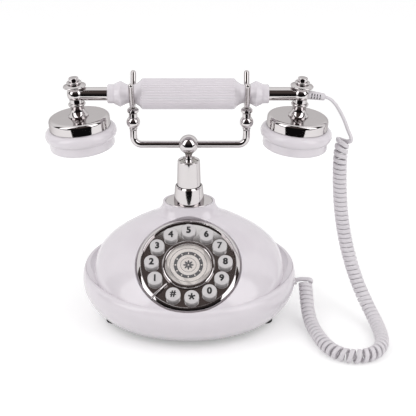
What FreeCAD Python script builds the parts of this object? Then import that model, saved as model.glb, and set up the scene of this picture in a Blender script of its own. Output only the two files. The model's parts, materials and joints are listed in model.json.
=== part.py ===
import FreeCAD, Part
import Sketcher
import math
import os

from FreeCAD import Placement, Rotation, Vector

# A table telephone with a sloping push-button dial, a chrome pedestal and cradle,
# and a handset that lies across two forks. Millimetres, +Z up, +Y to the rear.
# The origin lies on the table under the middle of the oval base.

SIZES = {
    # Base housing: an oval bowl, a lip with a gutter inside it, and a dome rising to a neck
    "wall": 2.5,
    "foot_height": 6.0,
    "bottom_half_width": 75.0,
    "bottom_half_depth": 58.0,
    "belly_half_width": 91.5,
    "belly_half_depth": 78.0,
    "belly_height": 37.0,
    "lip_half_width": 89.3,
    "lip_half_depth": 64.0,
    "lip_middle_y": 4.5,
    "lip_height": 46.5,
    "lip_tilt": 6.8,
    "gutter_radius": 8.0,
    "gutter_depth": 1.8,
    "gutter_land": 0.6,
    "gutter_tilt": 2.9,
    "dome_foot_half_width": 81.0,
    "dome_foot_half_depth": 69.0,
    "dome_foot_y": -6.0,
    "dome_foot_height": 40.0,
    "dome_top_height": 92.5,
    "neck_sink": 2.5,
    "neck_flare_width": 7.0,
    "neck_flare_depth": 2.6,
    "neck_foot_half_width": 24.3,
    "neck_foot_half_depth": 18.6,
    "neck_half_width": 22.2,
    "neck_half_depth": 16.8,
    "neck_height": 102.0,
    "neck_top_wall": 3.0,
    "ceiling_height": 37.0,
    # Base plate, feet and screws
    "plate_thick": 2.5,
    "plate_gap": 0.3,
    "foot_radius": 6.0,
    "front_foot_inset": 9.0,
    "front_foot_y": -14.0,
    "rear_foot_inset": 23.0,
    "rear_foot_setback": 24.0,
    "post_inset": 15.0,
    "post_front_y": 2.0,
    "post_rear_y": 20.0,
    "post_radius": 4.0,
    "screw_radius": 1.4,
    "screw_gap": 0.1,
    "screw_length": 14.0,
    "screw_head_radius": 2.8,
    "screw_head_thick": 1.6,
    # Pedestal
    "pedestal_y": 14.0,
    "flange_half_width": 20.0,
    "flange_half_depth": 15.2,
    "flange_thick": 2.0,
    "flange_recess": 1.6,
    "flange_gap": 0.25,
    "column_top_height": 139.5,
    "column_foot_radius": 10.5,
    "column_top_radius": 9.4,
    "column_rim": 1.1,
    "spigot_radius": 8.0,
    "spigot_length": 12.4,
    "spigot_gap": 0.15,
    "skirt_foot_radius": 12.9,
    "skirt_top_radius": 11.8,
    "skirt_height": 14.4,
    "skirt_chamfer": 1.2,
    "nut_radius": 12.0,
    "nut_thick": 5.0,
    "chamber_radius": 5.8,
    "chamber_floor": 108.0,
    "bush_radius": 7.2,
    "bush_thick": 3.4,
    "bush_dish": 1.5,
    "rim_drop": 1.6,
    # Cradle stem, hook spring and switch
    "hook_travel": 4.0,
    "stem_radius": 3.0,
    "stem_gap": 0.15,
    "stem_neck_radius": 2.4,
    "stem_flare_radius": 3.9,
    "cradle_ball_radius": 8.15,
    "cradle_height": 153.5,
    "stop_radius": 5.2,
    "stop_thick": 2.0,
    "spring_radius": 4.35,
    "spring_wire": 0.9,
    "spring_turns": 6,
    "running_gap": 0.3,
    "switch_width": 13.0,
    "switch_depth": 7.0,
    "switch_height": 10.5,
    "switch_button_radius": 1.6,
    "switch_button_height": 0.9,
    # Cradle rod, turned knobs and forks
    "rod_radius": 2.95,
    "rod_gap": 0.1,
    "upright_x": 47.0,
    "cradle_shift": 1.2,
    "rod_bend": 6.5,
    "upright_top": 166.4,
    "knob_bead_radius": 3.4,
    "knob_bead_height": 2.6,
    "knob_radius": 5.65,
    "knob_height": 8.8,
    "knob_neck_radius": 3.5,
    "knob_neck_height": 3.4,
    "knob_cap_radius": 4.8,
    "fork_radius": 2.3,
    "fork_gap": 0.3,
    "fork_spread": 17.0,
    "fork_rise": 12.4,
    "fork_peg_radius": 1.4,
    "fork_peg_length": 7.0,
    # Handset: the axis lies along X over the pedestal
    "handset_height": 198.0,
    "tube_radius": 5.5,
    "tube_wall": 1.1,
    "sleeve_gap": 0.1,
    "grip_half_length": 39.2,
    "grip_radius": 12.75,
    "grip_chamfer": 1.6,
    "flute_radius": 0.9,
    "flute_depth": 0.45,
    "flute_count": 36,
    "collar_flare_radius": 10.9,
    "collar_neck_radius": 7.4,
    "collar_neck_curve": 9.0,
    "collar_ring_x": 55.7,
    "collar_ring_radius": 10.55,
    "collar_end_radius": 7.85,
    "collar_end_length": 5.6,
    "collar_end_x": 66.2,
    "knuckle_x": 92.6,
    "knuckle_radius": 7.0,
    "knuckle_bead_radius": 7.2,
    "knuckle_bead_drop": 8.7,
    "knuckle_bead_height": 2.6,
    "knuckle_neck_radius": 5.7,
    "knuckle_foot_radius": 8.4,
    "knuckle_foot_drop": 19.2,
    "knuckle_flat": 5.4,
    "arm_length": 9.0,
    "stud_radius": 3.0,
    "stud_length": 6.6,
    "finial_radius": 9.5,
    "finial_flange": 1.8,
    "finial_seat_radius": 4.3,
    "finial_bead_radius": 6.2,
    "finial_bead_height": 2.0,
    "finial_knob_radius": 4.1,
    "finial_height": 8.8,
    "finial_stud_radius": 1.8,
    "finial_stud_length": 4.0,
    "cap_radius": 25.5,
    "cap_height": 9.2,
    "cap_wall": 1.5,
    "cap_round": 3.0,
    "cap_seam": 0.35,
    "cup_ring_radius": 30.0,
    "cup_ring_height": 10.6,
    "cup_band_radius": 27.2,
    "cup_band_height": 7.2,
    "cup_spigot_height": 5.6,
    "cup_wall": 2.6,
    "cup_dish": 3.0,
    "cup_floor": 3.2,
    "cup_round": 2.2,
    "cup_tilt": 5.0,
    "ear_hole_radius": 1.1,
    "mouth_hole_radius": 0.9,
    "capsule_radius": 19.8,
    "capsule_height": 9.0,
    "nut_small_radius": 5.5,
    "nut_small_thick": 3.0,
    "boot_length": 14.0,
    "boot_start_radius": 3.8,
    "boot_end_radius": 3.0,
    "boot_slope": 8.0,
    "boot_peg_radius": 2.2,
    "boot_peg_length": 3.5,
    # Dial: a flat round seat on the dome, sloping to the front
    "dial_y": -37.1,
    "dial_height": 65.5,
    "dial_tilt": 36.5,
    "seat_radius": 44.4,
    "seat_thick": 5.5,
    "seat_wall": 1.2,
    "dial_opening": 38.6,
    "bezel_radius": 43.5,
    "bezel_inner": 39.3,
    "bezel_height": 3.9,
    "bezel_edge": 1.6,
    "bezel_crown": 8.0,
    "face_radius": 41.0,
    "face_thick": 1.2,
    "face_gap": 0.1,
    "key_circle": 30.6,
    "key_radius": 6.1,
    "key_gap": 0.35,
    "key_rise": 5.0,
    "key_dome": 0.7,
    "key_flange_radius": 7.1,
    "key_flange_thick": 1.0,
    "key_travel": 1.5,
    "key_first_angle": -116.5,
    "key_step_angle": 29.1,
    "key_count": 12,
    "hub_outer": 22.1,
    "hub_inner": 18.6,
    "hub_height": 2.6,
    "card_thick": 0.6,
    "card_gap": 0.1,
    "lens_thick": 1.2,
    "stop_angle": 223.0,
    "stop_reach": 24.5,
    "stop_width": 6.0,
    "stop_tip_width": 3.0,
    "stop_blade_thick": 1.3,
    "stop_lift": 2.2,
    "membrane_dome": 1.3,
    "membrane_dome_radius": 4.0,
    "board_radius": 41.6,
    "board_thick": 1.6,
    "board_screw_circle": 40.1,
    "small_screw_radius": 0.9,
    "small_screw_length": 5.0,
    "small_head_radius": 1.8,
    "small_head_thick": 1.2,
    # Inside the base
    "main_board_width": 84.0,
    "main_board_front": -4.0,
    "main_board_rear": 54.0,
    "main_board_height": 14.0,
    "standoff_radius": 3.0,
    "standoff_inset": 5.0,
    "standoff_rear": 40.0,
    "ringer_radius": 15.0,
    "ringer_height": 9.0,
    "ringer_x": -34.0,
    "ringer_y": -24.0,
    "ringer_hole_radius": 1.5,
    "jack_width": 15.0,
    "jack_height": 13.0,
    "jack_depth": 22.0,
    "jack_setback": 3.0,
    "opening_gap": 0.3,
    "socket_width": 9.7,
    "socket_height": 6.8,
    "socket_depth": 12.0,
    # Handset cord
    "cord_thick": 2.5,
    "coil_radius": 4.2,
    "coil_turns": 80.42,
    "coil_ramp": 11.0,
    "entry_height": 29.6,
    "entry_y": 3.6,
    "entry_slope": 19.0,
    "entry_bush_radius": 3.6,
    "entry_bush_proud": 2.4,
    "entry_bush_depth": 6.0,
    "lead_out": 4.5,
    "lead_in": 5.0,
    "lead_rise": 2.8,
    "entry_run": 6.0,
}

# Bends of the handset lead between the boot and the first curl, and of the base lead after the last curl
HANDSET_LEAD = [(123.6, 14.0, 187.4), (130.6, 14.0, 174.0)]
BASE_LEAD = [(103.5, 3.8, 32.4), (99.4, 3.7, 33.0)]

# Line that the curls wind round, from under the handset down to the table and up to the base
COIL_LINE = [
    (128.2, 14.0, 160.5), (127.6, 14.0, 139.0), (127.9, 14.0, 118.0), (129.4, 13.6, 99.0),
    (131.8, 12.3, 81.5),
    (135.4, 9.6, 63.5), (140.4, 4.4, 45.5), (146.8, -3.6, 28.6), (153.6, -13.5, 15.6), (159.2, -27.5, 8.0),
    (161.8, -45.0, 5.7), (161.0, -64.5, 5.7), (152.4, -78.4, 5.7), (138.0, -83.8, 5.7), (123.4, -79.2, 5.7),
    (113.8, -66.0, 5.7), (108.4, -49.0, 5.7), (104.4, -32.0, 5.7), (101.9, -15.5, 6.4), (101.0, -4.5, 12.8),
    (101.0, 1.0, 24.0),
]

ARC_STEPS_PER_TURN = 2
LEVELS = 6
DOME_WIDTH_POWER = 3.0
DOME_DEPTH_POWER = 1.5
DOME_SHIFT_POWER = 1.4
NECK_FLARE_POWER = 3.0
KEY_NAMES = ["1", "2", "3", "4", "5", "6", "7", "8", "9", "0", "star", "hash"]
FAR = 200.0
UP = Vector(0, 0, 1)
ALONG_X = Rotation(Vector(0, 1, 0), 90)


class Size:
    """A number with the sheet expression that gives it."""

    def __init__(self, value, text):
        self.value = float(value)
        self.text = text

    def joined(self, sign, other, value):
        return Size(value, "(" + self.text + " " + sign + " " + other.text + ")")

    def __add__(self, other):
        other = as_size(other)
        return self.joined("+", other, self.value + other.value)

    def __sub__(self, other):
        other = as_size(other)
        return self.joined("-", other, self.value - other.value)

    def __mul__(self, other):
        other = as_size(other)
        return self.joined("*", other, self.value * other.value)

    def __truediv__(self, other):
        other = as_size(other)
        return self.joined("/", other, self.value / other.value)

    def __radd__(self, other):
        return as_size(other) + self

    def __rsub__(self, other):
        return as_size(other) - self

    def __rmul__(self, other):
        return as_size(other) * self

    def __neg__(self):
        return as_size(0) - self


def as_size(number):
    if isinstance(number, Size):
        return number
    return Size(number, repr(float(number)))


def sine(angle):
    return Size(math.sin(math.radians(angle.value)), "sin(" + angle.text + " * 1 deg)")


def cosine(angle):
    return Size(math.cos(math.radians(angle.value)), "cos(" + angle.text + " * 1 deg)")


def root(number):
    return Size(math.sqrt(number.value), "sqrt(" + number.text + ")")


class Sheet:
    """Reads every size by its name."""

    def __getattr__(self, name):
        return Size(SIZES[name], "dims." + name)


doc = FreeCAD.newDocument("telephone")
cells = doc.addObject("Spreadsheet::Sheet", "dims")
for row, name in enumerate(SIZES, start=1):
    cells.set("A%d" % row, name)
    cells.set("B%d" % row, str(SIZES[name]))
    cells.setAlias("B%d" % row, name)
doc.recompute()
d = Sheet()
NODES = []


def bind(obj, prop, amount):
    obj.setExpression(prop, as_size(amount).text)


def place(obj, x=0, y=0, z=0, turn=None):
    spot = [as_size(x), as_size(y), as_size(z)]
    obj.Placement = Placement(Vector(*[s.value for s in spot]), turn or Rotation())
    for axis, s in zip("xyz", spot):
        obj.setExpression("Placement.Base." + axis, s.text)
    return obj


def node(obj, label):
    """Names an object as a finished piece of the telephone."""
    obj.Label = label
    NODES.append(obj)
    return obj


def shaped(name, shape):
    feature = doc.addObject("Part::Feature", name)
    feature.Shape = shape
    return feature


def cylinder(name, radius, height, x=0, y=0, z=0, turn=None):
    obj = doc.addObject("Part::Cylinder", name)
    bind(obj, "Radius", radius)
    bind(obj, "Height", height)
    return place(obj, x, y, z, turn)


def box(name, length, width, height, x=0, y=0, z=0, turn=None):
    obj = doc.addObject("Part::Box", name)
    bind(obj, "Length", length)
    bind(obj, "Width", width)
    bind(obj, "Height", height)
    return place(obj, x, y, z, turn)


def fuse(name, pieces):
    obj = doc.addObject("Part::MultiFuse", name)
    obj.Shapes = pieces
    return obj


def group(name, pieces):
    obj = doc.addObject("Part::Compound", name)
    obj.Links = pieces
    return obj


def cut(name, base, tool):
    obj = doc.addObject("Part::Cut", name)
    obj.Base = base
    obj.Tool = tool
    return obj


def origin_feature(body, role):
    return [f for f in body.Origin.OriginFeatures if f.Role == role][0]


def sketch_on(body, name, role):
    sketch = body.newObject("Sketcher::SketchObject", name)
    sketch.AttachmentSupport = [(origin_feature(body, role), "")]
    sketch.MapMode = "FlatFace"
    return sketch


def convex(radius):
    return ("convex", as_size(radius))


def concave(radius):
    return ("concave", as_size(radius))


def crown(radius, rise):
    """Radius of a round crown that rises so far over a disc of that radius."""
    return (radius * radius + rise * rise) / (2 * rise)


def arc_between(a, b, bend, radius):
    """Arc of that radius from a to b, bulging to the right of the way when convex."""
    middle = (a + b) * 0.5
    chord = b - a
    half = chord.Length / 2
    sag = radius - math.sqrt(max(radius * radius - half * half, 0.0))
    right = Vector(chord.y, -chord.x, 0).normalize()
    side = 1 if bend == "convex" else -1
    return Part.Arc(a, middle + right * (sag * side), b)


def fix_corner(sketch, geometry, end, corner):
    """Pins one corner of a profile to its radius and height."""
    for kind, axis, amount in (("DistanceX", -2, corner[0]), ("DistanceY", -1, corner[1])):
        if abs(amount.value) < 1e-9:
            sketch.addConstraint(Sketcher.Constraint("PointOnObject", geometry, end, axis))
        else:
            index = sketch.addConstraint(Sketcher.Constraint(kind, -1, 1, geometry, end, amount.value))
            sketch.setExpression("Constraints[%d]" % index, amount.text)


def profile(sketch, path):
    """Closed outline from corners (radius, height), with convex or concave arcs between some of them."""
    corners = [tuple(as_size(c) for c in step) for step in path if not isinstance(step[0], str)]
    bends = {}
    seen = 0
    for step in path:
        if isinstance(step[0], str):
            bends[seen - 1] = step
        else:
            seen += 1
    spots = [Vector(c[0].value, c[1].value, 0) for c in corners]
    ends = []
    for i, a in enumerate(spots):
        b = spots[(i + 1) % len(spots)]
        if i in bends:
            bend, radius = bends[i]
            geometry = sketch.addGeometry(arc_between(a, b, bend, radius.value))
            ends.append((geometry, 1, 2) if bend == "convex" else (geometry, 2, 1))
        else:
            geometry = sketch.addGeometry(Part.LineSegment(a, b))
            ends.append((geometry, 1, 2))
    for i, (geometry, first, last) in enumerate(ends):
        after = ends[(i + 1) % len(ends)]
        sketch.addConstraint(Sketcher.Constraint("Coincident", geometry, last, after[0], after[1]))
    for i, (geometry, first, last) in enumerate(ends):
        fix_corner(sketch, geometry, first, corners[i])
        if i in bends:
            radius = bends[i][1]
            index = sketch.addConstraint(Sketcher.Constraint("Radius", geometry, radius.value))
            sketch.setExpression("Constraints[%d]" % index, radius.text)


def turned(name, path):
    """A body of revolution about its own Z axis."""
    body = doc.addObject("PartDesign::Body", name)
    sketch = sketch_on(body, name + "_profile", "XZ_Plane")
    profile(sketch, path)
    turn = body.newObject("PartDesign::Revolution", name + "_turned")
    turn.Profile = sketch
    turn.ReferenceAxis = (sketch, ["V_Axis"])
    turn.Angle = 360
    return body


def dial_place(obj, across=0, up=0, out=0, spin=0):
    """Places a piece on the dial: across to the right, up the slope, and out along the dial's normal."""
    across, up, out = as_size(across), as_size(up), as_size(out)
    tilt_sine, tilt_cosine = sine(d.dial_tilt), cosine(d.dial_tilt)
    turn = Rotation(Vector(1, 0, 0), d.dial_tilt.value).multiply(Rotation(UP, spin))
    y = d.dial_y + up * tilt_cosine - out * tilt_sine
    z = d.dial_height + up * tilt_sine + out * tilt_cosine
    return place(obj, across, y, z, turn)


def ellipse_wire(half_width, half_depth, middle, tilt=0.0):
    """Oval wire that starts at +X, in a plane tipped up to the rear."""
    if half_width >= half_depth:
        oval = Part.Ellipse(Vector(half_width, 0, 0), Vector(0, half_depth, 0), Vector())
        start = 0.0
    else:
        oval = Part.Ellipse(Vector(0, half_depth, 0), Vector(-half_width, 0, 0), Vector())
        start = -math.pi / 2
    wire = Part.Wire([oval.toShape(start, start + 2 * math.pi)])
    wire.rotate(Vector(), Vector(1, 0, 0), tilt)
    wire.translate(middle)
    return wire


def bowl_sections(inset, bottom):
    """Ovals of the bowl from its foot up to the belly, drawn in by the wall where it is the inside."""
    rise = d.belly_height.value - bottom
    wires = []
    for step in range(LEVELS - 1):
        share = step / (LEVELS - 2)
        fill = 1 - (1 - share) ** 2
        width = d.bottom_half_width.value + (d.belly_half_width.value - d.bottom_half_width.value) * fill
        depth = d.bottom_half_depth.value + (d.belly_half_depth.value - d.bottom_half_depth.value) * fill
        wires.append(ellipse_wire(width - inset, depth - inset, Vector(0, 0, bottom + rise * share)))
    return wires


def dome_sections(inset):
    """Ovals of the dome, which lean back as they rise to the neck."""
    rise = d.dome_top_height.value - d.dome_foot_height.value
    wires = []
    for step in range(LEVELS):
        share = (step / (LEVELS - 1)) ** 0.8
        wide = 1 - share ** DOME_WIDTH_POWER
        deep = 1 - share ** DOME_DEPTH_POWER
        width = d.neck_foot_half_width.value + (
            d.dome_foot_half_width.value - d.neck_foot_half_width.value) * wide
        depth = d.neck_foot_half_depth.value + (
            d.dome_foot_half_depth.value - d.neck_foot_half_depth.value) * deep
        lean = (d.pedestal_y.value - d.dome_foot_y.value) * share ** DOME_SHIFT_POWER
        spot = Vector(0, d.dome_foot_y.value + lean, d.dome_foot_height.value + rise * share)
        wires.append(ellipse_wire(width - inset, depth - inset, spot))
    return wires


def neck_solid(inset, top):
    """Oval neck that flares out where it leaves the dome."""
    low = d.dome_top_height.value - d.neck_sink.value
    wires = []
    for step in range(LEVELS):
        share = step / (LEVELS - 1)
        flare = (1 - share) ** NECK_FLARE_POWER
        width = d.neck_foot_half_width.value * (1 - share) + d.neck_half_width.value * share
        depth = d.neck_foot_half_depth.value * (1 - share) + d.neck_half_depth.value * share
        width += d.neck_flare_width.value * flare - inset
        depth += d.neck_flare_depth.value * flare - inset
        wires.append(ellipse_wire(width, depth, Vector(0, d.pedestal_y.value, low + (top - low) * share)))
    return Part.makeLoft(wires, True, False)


def slab(top):
    """Block wider than the housing, from the table up to a height."""
    return Part.makeBox(2 * FAR, 2 * FAR, top, Vector(-FAR, -FAR, 0))


def dial_cylinder(radius, low, high):
    """Cylinder about the dial's axis between two heights over the seat."""
    solid = Part.makeCylinder(radius, high - low, Vector(0, 0, low))
    turn = Rotation(Vector(1, 0, 0), d.dial_tilt.value)
    solid.Placement = Placement(Vector(0, d.dial_y.value, d.dial_height.value),
        turn).multiply(solid.Placement)
    return solid


def belly_half_width_at(height):
    """Half width of the bowl's outside at a height below the belly."""
    share = (height - d.foot_height.value) / (d.belly_height.value - d.foot_height.value)
    fill = 1 - (1 - share) ** 2
    return d.bottom_half_width.value + (d.belly_half_width.value - d.bottom_half_width.value) * fill


def post_spots():
    for side in (-1, 1):
        for y in (d.post_front_y, d.post_rear_y):
            yield side * (d.bottom_half_width - d.post_inset), y


def entry_axis():
    """Point on the housing's right side where the cord goes in, and the way it comes out."""
    slope = math.radians(d.entry_slope.value)
    spot = Vector(belly_half_width_at(d.entry_height.value), d.entry_y.value, d.entry_height.value)
    return spot, Vector(math.cos(slope), 0, math.sin(slope))


def make_base_shell():
    bowl = bowl_sections(0.0, d.foot_height.value)
    lip_middle = Vector(0, d.lip_middle_y.value, d.lip_height.value)
    bowl.append(ellipse_wire(d.lip_half_width.value, d.lip_half_depth.value, lip_middle, d.lip_tilt.value))
    outer = Part.makeLoft(bowl, True, False)
    reach = d.gutter_land.value + d.gutter_radius.value
    gutter_middle = lip_middle + Vector(0, 0, d.gutter_radius.value - d.gutter_depth.value)
    spine = ellipse_wire(
        d.lip_half_width.value - reach, d.lip_half_depth.value - reach, gutter_middle, d.gutter_tilt.value)
    start = spine.Vertexes[0].Point
    ring = Part.Wire([Part.Circle(start, Vector(0, 1, 0), d.gutter_radius.value).toShape()])
    outer = outer.cut(spine.makePipeShell([ring], True, True))
    outer = outer.fuse(Part.makeLoft(dome_sections(0.0), True, False))
    outer = outer.fuse(neck_solid(0.0, d.neck_height.value))
    seat = d.seat_radius.value
    outer = outer.fuse(dial_cylinder(seat, -2 * d.seat_thick.value, 0))
    outer = outer.cut(dial_cylinder(seat, 0, seat))

    wall = d.wall.value
    low = Part.makeLoft(bowl_sections(wall, d.foot_height.value), True, False)
    low = low.common(slab(d.ceiling_height.value))
    high = Part.makeLoft(dome_sections(wall), True, False)
    neck_room = d.neck_height.value - d.flange_recess.value - d.neck_top_wall.value
    high = high.fuse(neck_solid(wall, d.neck_height.value))
    throat = Part.makeLoft(
        [
            ellipse_wire(
                d.dome_foot_half_width.value - wall,
                d.dome_foot_half_depth.value - wall,
                Vector(0, d.dome_foot_y.value, z))
            for z in (d.ceiling_height.value - wall, d.dome_foot_height.value)
        ],
        True, True)
    high = high.fuse(throat)
    high = high.common(slab(neck_room))
    hollow = low.fuse(high)
    hollow = hollow.cut(dial_cylinder(seat + d.seat_wall.value, -d.seat_thick.value, seat))
    shell = outer.cut(hollow)

    plate_top = d.foot_height.value + d.plate_thick.value
    for x, y in post_spots():
        post = Part.makeCylinder(d.post_radius.value, FAR, Vector(x.value, y.value, plate_top))
        shell = shell.fuse(post.common(outer))
        pilot = d.screw_radius.value + d.screw_gap.value
        shell = shell.cut(Part.makeCylinder(pilot, d.screw_length.value, Vector(x.value, y.value,
            plate_top)))
    shell = shell.cut(dial_cylinder(d.dial_opening.value, -3 * d.seat_thick.value, seat))
    for spot in board_screw_spots():
        pilot = Part.makeCylinder(d.small_screw_radius.value + d.screw_gap.value,
            d.small_screw_length.value)
        pilot.translate(Vector(spot[0].value, spot[1].value, -d.seat_thick.value))
        turn = Rotation(Vector(1, 0, 0), d.dial_tilt.value)
        pilot.Placement = Placement(
            Vector(0, d.dial_y.value, d.dial_height.value), turn).multiply(pilot.Placement)
        shell = shell.cut(pilot)
    recess = ellipse_wire(
        d.flange_half_width.value + d.flange_gap.value,
        d.flange_half_depth.value + d.flange_gap.value,
        Vector(0, d.pedestal_y.value, d.neck_height.value - d.flange_recess.value))
    shell = shell.cut(Part.Face(recess).extrude(UP * FAR))
    hole = d.spigot_radius.value + d.spigot_gap.value
    shell = shell.cut(Part.makeCylinder(hole, FAR, Vector(0, d.pedestal_y.value, neck_room - wall)))
    gap = d.opening_gap.value
    slot = Part.makeBox(
        d.jack_width.value + 2 * gap, FAR, d.jack_height.value + 2 * gap,
        Vector(-d.jack_width.value / 2 - gap, jack_front() - d.jack_depth.value, jack_bottom() - gap))
    shell = shell.cut(slot)
    spot, way = entry_axis()
    deep = 2 * d.entry_bush_depth.value
    bush_hole = Part.makeCylinder(d.entry_bush_radius.value + gap, 2 * deep, spot - way * deep, way)
    shell = shell.cut(bush_hole)
    return node(shaped("base_shell", shell.removeSplitter()), "base_shell")


def jack_bottom():
    return d.main_board_height.value + d.board_thick.value


def jack_front():
    """Rear face of the line jack, set back from the housing's rear wall at the jack's middle height."""
    middle = jack_bottom() + d.jack_height.value / 2
    share = (middle - d.foot_height.value) / (d.belly_height.value - d.foot_height.value)
    fill = 1 - (1 - share) ** 2
    wall_y = d.bottom_half_depth.value + (d.belly_half_depth.value - d.bottom_half_depth.value) * fill
    return wall_y - d.jack_setback.value


def make_base_plate():
    inset = d.wall.value + d.plate_gap.value
    low = Vector(0, 0, d.foot_height.value)
    outline = ellipse_wire(d.bottom_half_width.value - inset, d.bottom_half_depth.value - inset, low)
    plate = Part.Face(outline).extrude(Vector(0, 0, d.plate_thick.value))
    top = d.foot_height.value + d.plate_thick.value
    for x, y in standoff_spots():
        height = d.main_board_height.value - top
        plate = plate.fuse(Part.makeCylinder(d.standoff_radius.value, height, Vector(x.value, y.value,
            top)))
        pilot = d.small_screw_radius.value + d.screw_gap.value
        deep = d.small_screw_length.value
        spot = Vector(x.value, y.value, d.main_board_height.value - deep)
        plate = plate.cut(Part.makeCylinder(pilot, deep, spot))
    clear = d.screw_radius.value + d.screw_gap.value
    sink = d.screw_head_radius.value + d.screw_gap.value
    for x, y in post_spots():
        spot = Vector(x.value, y.value, d.foot_height.value)
        plate = plate.cut(Part.makeCylinder(clear, d.plate_thick.value, spot))
        plate = plate.cut(Part.makeCylinder(sink, d.screw_head_thick.value, spot))
    for ring, count in ((0.0, 1), (0.35, 6), (0.7, 12)):
        for i in range(count):
            angle = 2 * math.pi * i / count
            reach = ring * d.ringer_radius.value
            spot = Vector(
                d.ringer_x.value + reach * math.cos(angle), d.ringer_y.value + reach * math.sin(angle),
                d.foot_height.value)
            plate = plate.cut(Part.makeCylinder(d.ringer_hole_radius.value, d.plate_thick.value, spot))
    return node(shaped("base_plate", plate.removeSplitter()), "base_plate")


def make_feet():
    feet = []
    front_x = d.bottom_half_width - d.front_foot_inset
    rear_x = d.bottom_half_width - d.rear_foot_inset
    rear_y = d.bottom_half_depth - d.rear_foot_setback
    for i, (x, y) in enumerate((
            (-front_x, d.front_foot_y), (front_x, d.front_foot_y), (-rear_x, rear_y), (rear_x, rear_y))):
        edge = d.foot_radius * 0.15
        foot = turned("foot_%d" % i, [
            (0, 0), (d.foot_radius - edge, 0), convex(edge), (d.foot_radius, edge),
            (d.foot_radius, d.foot_height), (0, d.foot_height)])
        feet.append(place(foot, x, y, 0))
    return node(group("rubber_feet_group", feet), "rubber_feet")


def make_base_screws():
    screws = []
    for i, (x, y) in enumerate(post_spots()):
        screw = turned("base_screw_%d" % i, [
            (0, 0), (d.screw_head_radius, 0), (d.screw_head_radius, d.screw_head_thick),
            (d.screw_radius, d.screw_head_thick), (d.screw_radius, d.screw_length), (0, d.screw_length)])
        screws.append(place(screw, x, y, d.foot_height))
    return node(group("base_screws_group", screws), "base_screws")


def key_spot(i):
    angle = d.key_first_angle + i * d.key_step_angle
    return d.key_circle * sine(angle), d.key_circle * cosine(angle)


def make_dial_bezel():
    edge = d.bezel_edge
    seat = d.face_thick + d.face_gap
    lip = edge * 0.35
    bezel = turned("dial_bezel", [
        (d.face_radius + d.face_gap, 0), (d.bezel_radius - lip, 0), (d.bezel_radius, lip),
        (d.bezel_radius, edge * 0.6), convex(d.bezel_crown), (d.bezel_inner + lip, d.bezel_height),
        convex(lip), (d.bezel_inner, d.bezel_height - lip),
        (d.bezel_inner, seat), (d.face_radius + d.face_gap, seat)])
    return node(dial_place(bezel), "dial_bezel")


def make_dial_plate():
    disc = cylinder("dial_plate_disc", d.face_radius, d.face_thick)
    holes = []
    for i in range(int(SIZES["key_count"])):
        across, up = key_spot(i)
        holes.append(cylinder(
            "dial_hole_%d" % i, d.key_radius + d.key_gap, d.face_thick * 3, across, up, -d.face_thick))
    plate = cut("dial_plate_cut", disc, group("dial_holes", holes))
    return node(dial_place(plate), "dial_plate")


def make_dial_centre():
    ring_round = (d.hub_outer - d.hub_inner) * 0.25
    ring = turned("dial_hub_ring", [
        (d.hub_inner, 0), (d.hub_outer, 0), (d.hub_outer, d.hub_height - ring_round * 1.5),
        convex(ring_round * 2), (d.hub_outer - ring_round * 1.5, d.hub_height),
        (d.hub_inner + ring_round, d.hub_height), convex(ring_round),
        (d.hub_inner, d.hub_height - ring_round)])
    node(dial_place(ring, 0, 0, d.face_thick), "dial_hub_ring")
    radius = d.hub_inner - d.card_gap
    card = turned("dial_label", [(0, 0), (radius, 0), (radius, d.card_thick), (0, d.card_thick)])
    node(dial_place(card, 0, 0, d.face_thick), "dial_label")
    edge = d.lens_thick * 0.5
    lens = turned("label_lens", [
        (0, 0), (radius, 0), (radius, edge), convex(crown(radius, d.lens_thick - edge)), (0, d.lens_thick)])
    node(dial_place(lens, 0, 0, d.face_thick + d.card_thick), "label_lens")


def make_finger_stop():
    """Tapered blade from the bezel towards the hub, lifted over the plate on a foot by the bezel."""
    body = doc.addObject("PartDesign::Body", "finger_stop_body")
    sketch = sketch_on(body, "finger_stop_outline", "XY_Plane")
    reach = d.bezel_inner - d.face_gap * 2
    half, tip = d.stop_width / 2, d.stop_tip_width / 2
    points = [
        (d.stop_reach, half - tip), (reach, 0), (reach, d.stop_width), (d.stop_reach, half + tip)]
    profile(sketch, points)
    pad = body.newObject("PartDesign::Pad", "finger_stop_blade")
    pad.Profile = sketch
    bind(pad, "Length", d.stop_blade_thick)
    foot = box("finger_stop_foot", d.stop_width * 0.6, d.stop_width * 0.8,
        d.stop_lift + d.stop_blade_thick * 0.5,
               reach - d.stop_width * 0.7, d.stop_width * 0.1, -d.stop_lift)
    rivet = cylinder("finger_stop_rivet", d.stop_width * 0.22, d.stop_blade_thick * 1.5,
                     reach - d.stop_width * 0.42, half, 0)
    whole = fuse("finger_stop_whole", [body, foot, rivet])
    angle = math.radians(90 - SIZES["stop_angle"])
    shift_x = Size(half.value * math.sin(angle),
        "(" + half.text + " * sin((90 - dims.stop_angle) * 1 deg))")
    shift_y = Size(-half.value * math.cos(angle),
        "(0 - " + half.text + " * cos((90 - dims.stop_angle) * 1 deg))")
    dial_place(whole, shift_x, shift_y, d.face_thick + d.stop_lift, math.degrees(angle))
    return node(whole, "finger_stop")


def key_bottom():
    """Height of a key's underside over the dial's seat."""
    return -d.running_gap - d.key_flange_thick


def make_keys():
    low = key_bottom()
    rise = d.key_rise + d.face_thick - low
    dome = d.key_dome
    for i, key_name in enumerate(KEY_NAMES):
        edge = d.key_radius * 0.12
        swell = crown(d.key_radius - edge, dome)
        key = turned("key_" + key_name, [
            (0, 0), (d.key_flange_radius, 0), (d.key_flange_radius, d.key_flange_thick),
            (d.key_radius, d.key_flange_thick), (d.key_radius, rise - dome - edge),
            convex(edge), (d.key_radius - edge, rise - dome), convex(swell), (0, rise)])
        across, up = key_spot(i)
        node(dial_place(key, across, up, low), "key_" + key_name)


def membrane_top():
    return key_bottom() - d.key_travel - d.running_gap - d.membrane_dome


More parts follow.
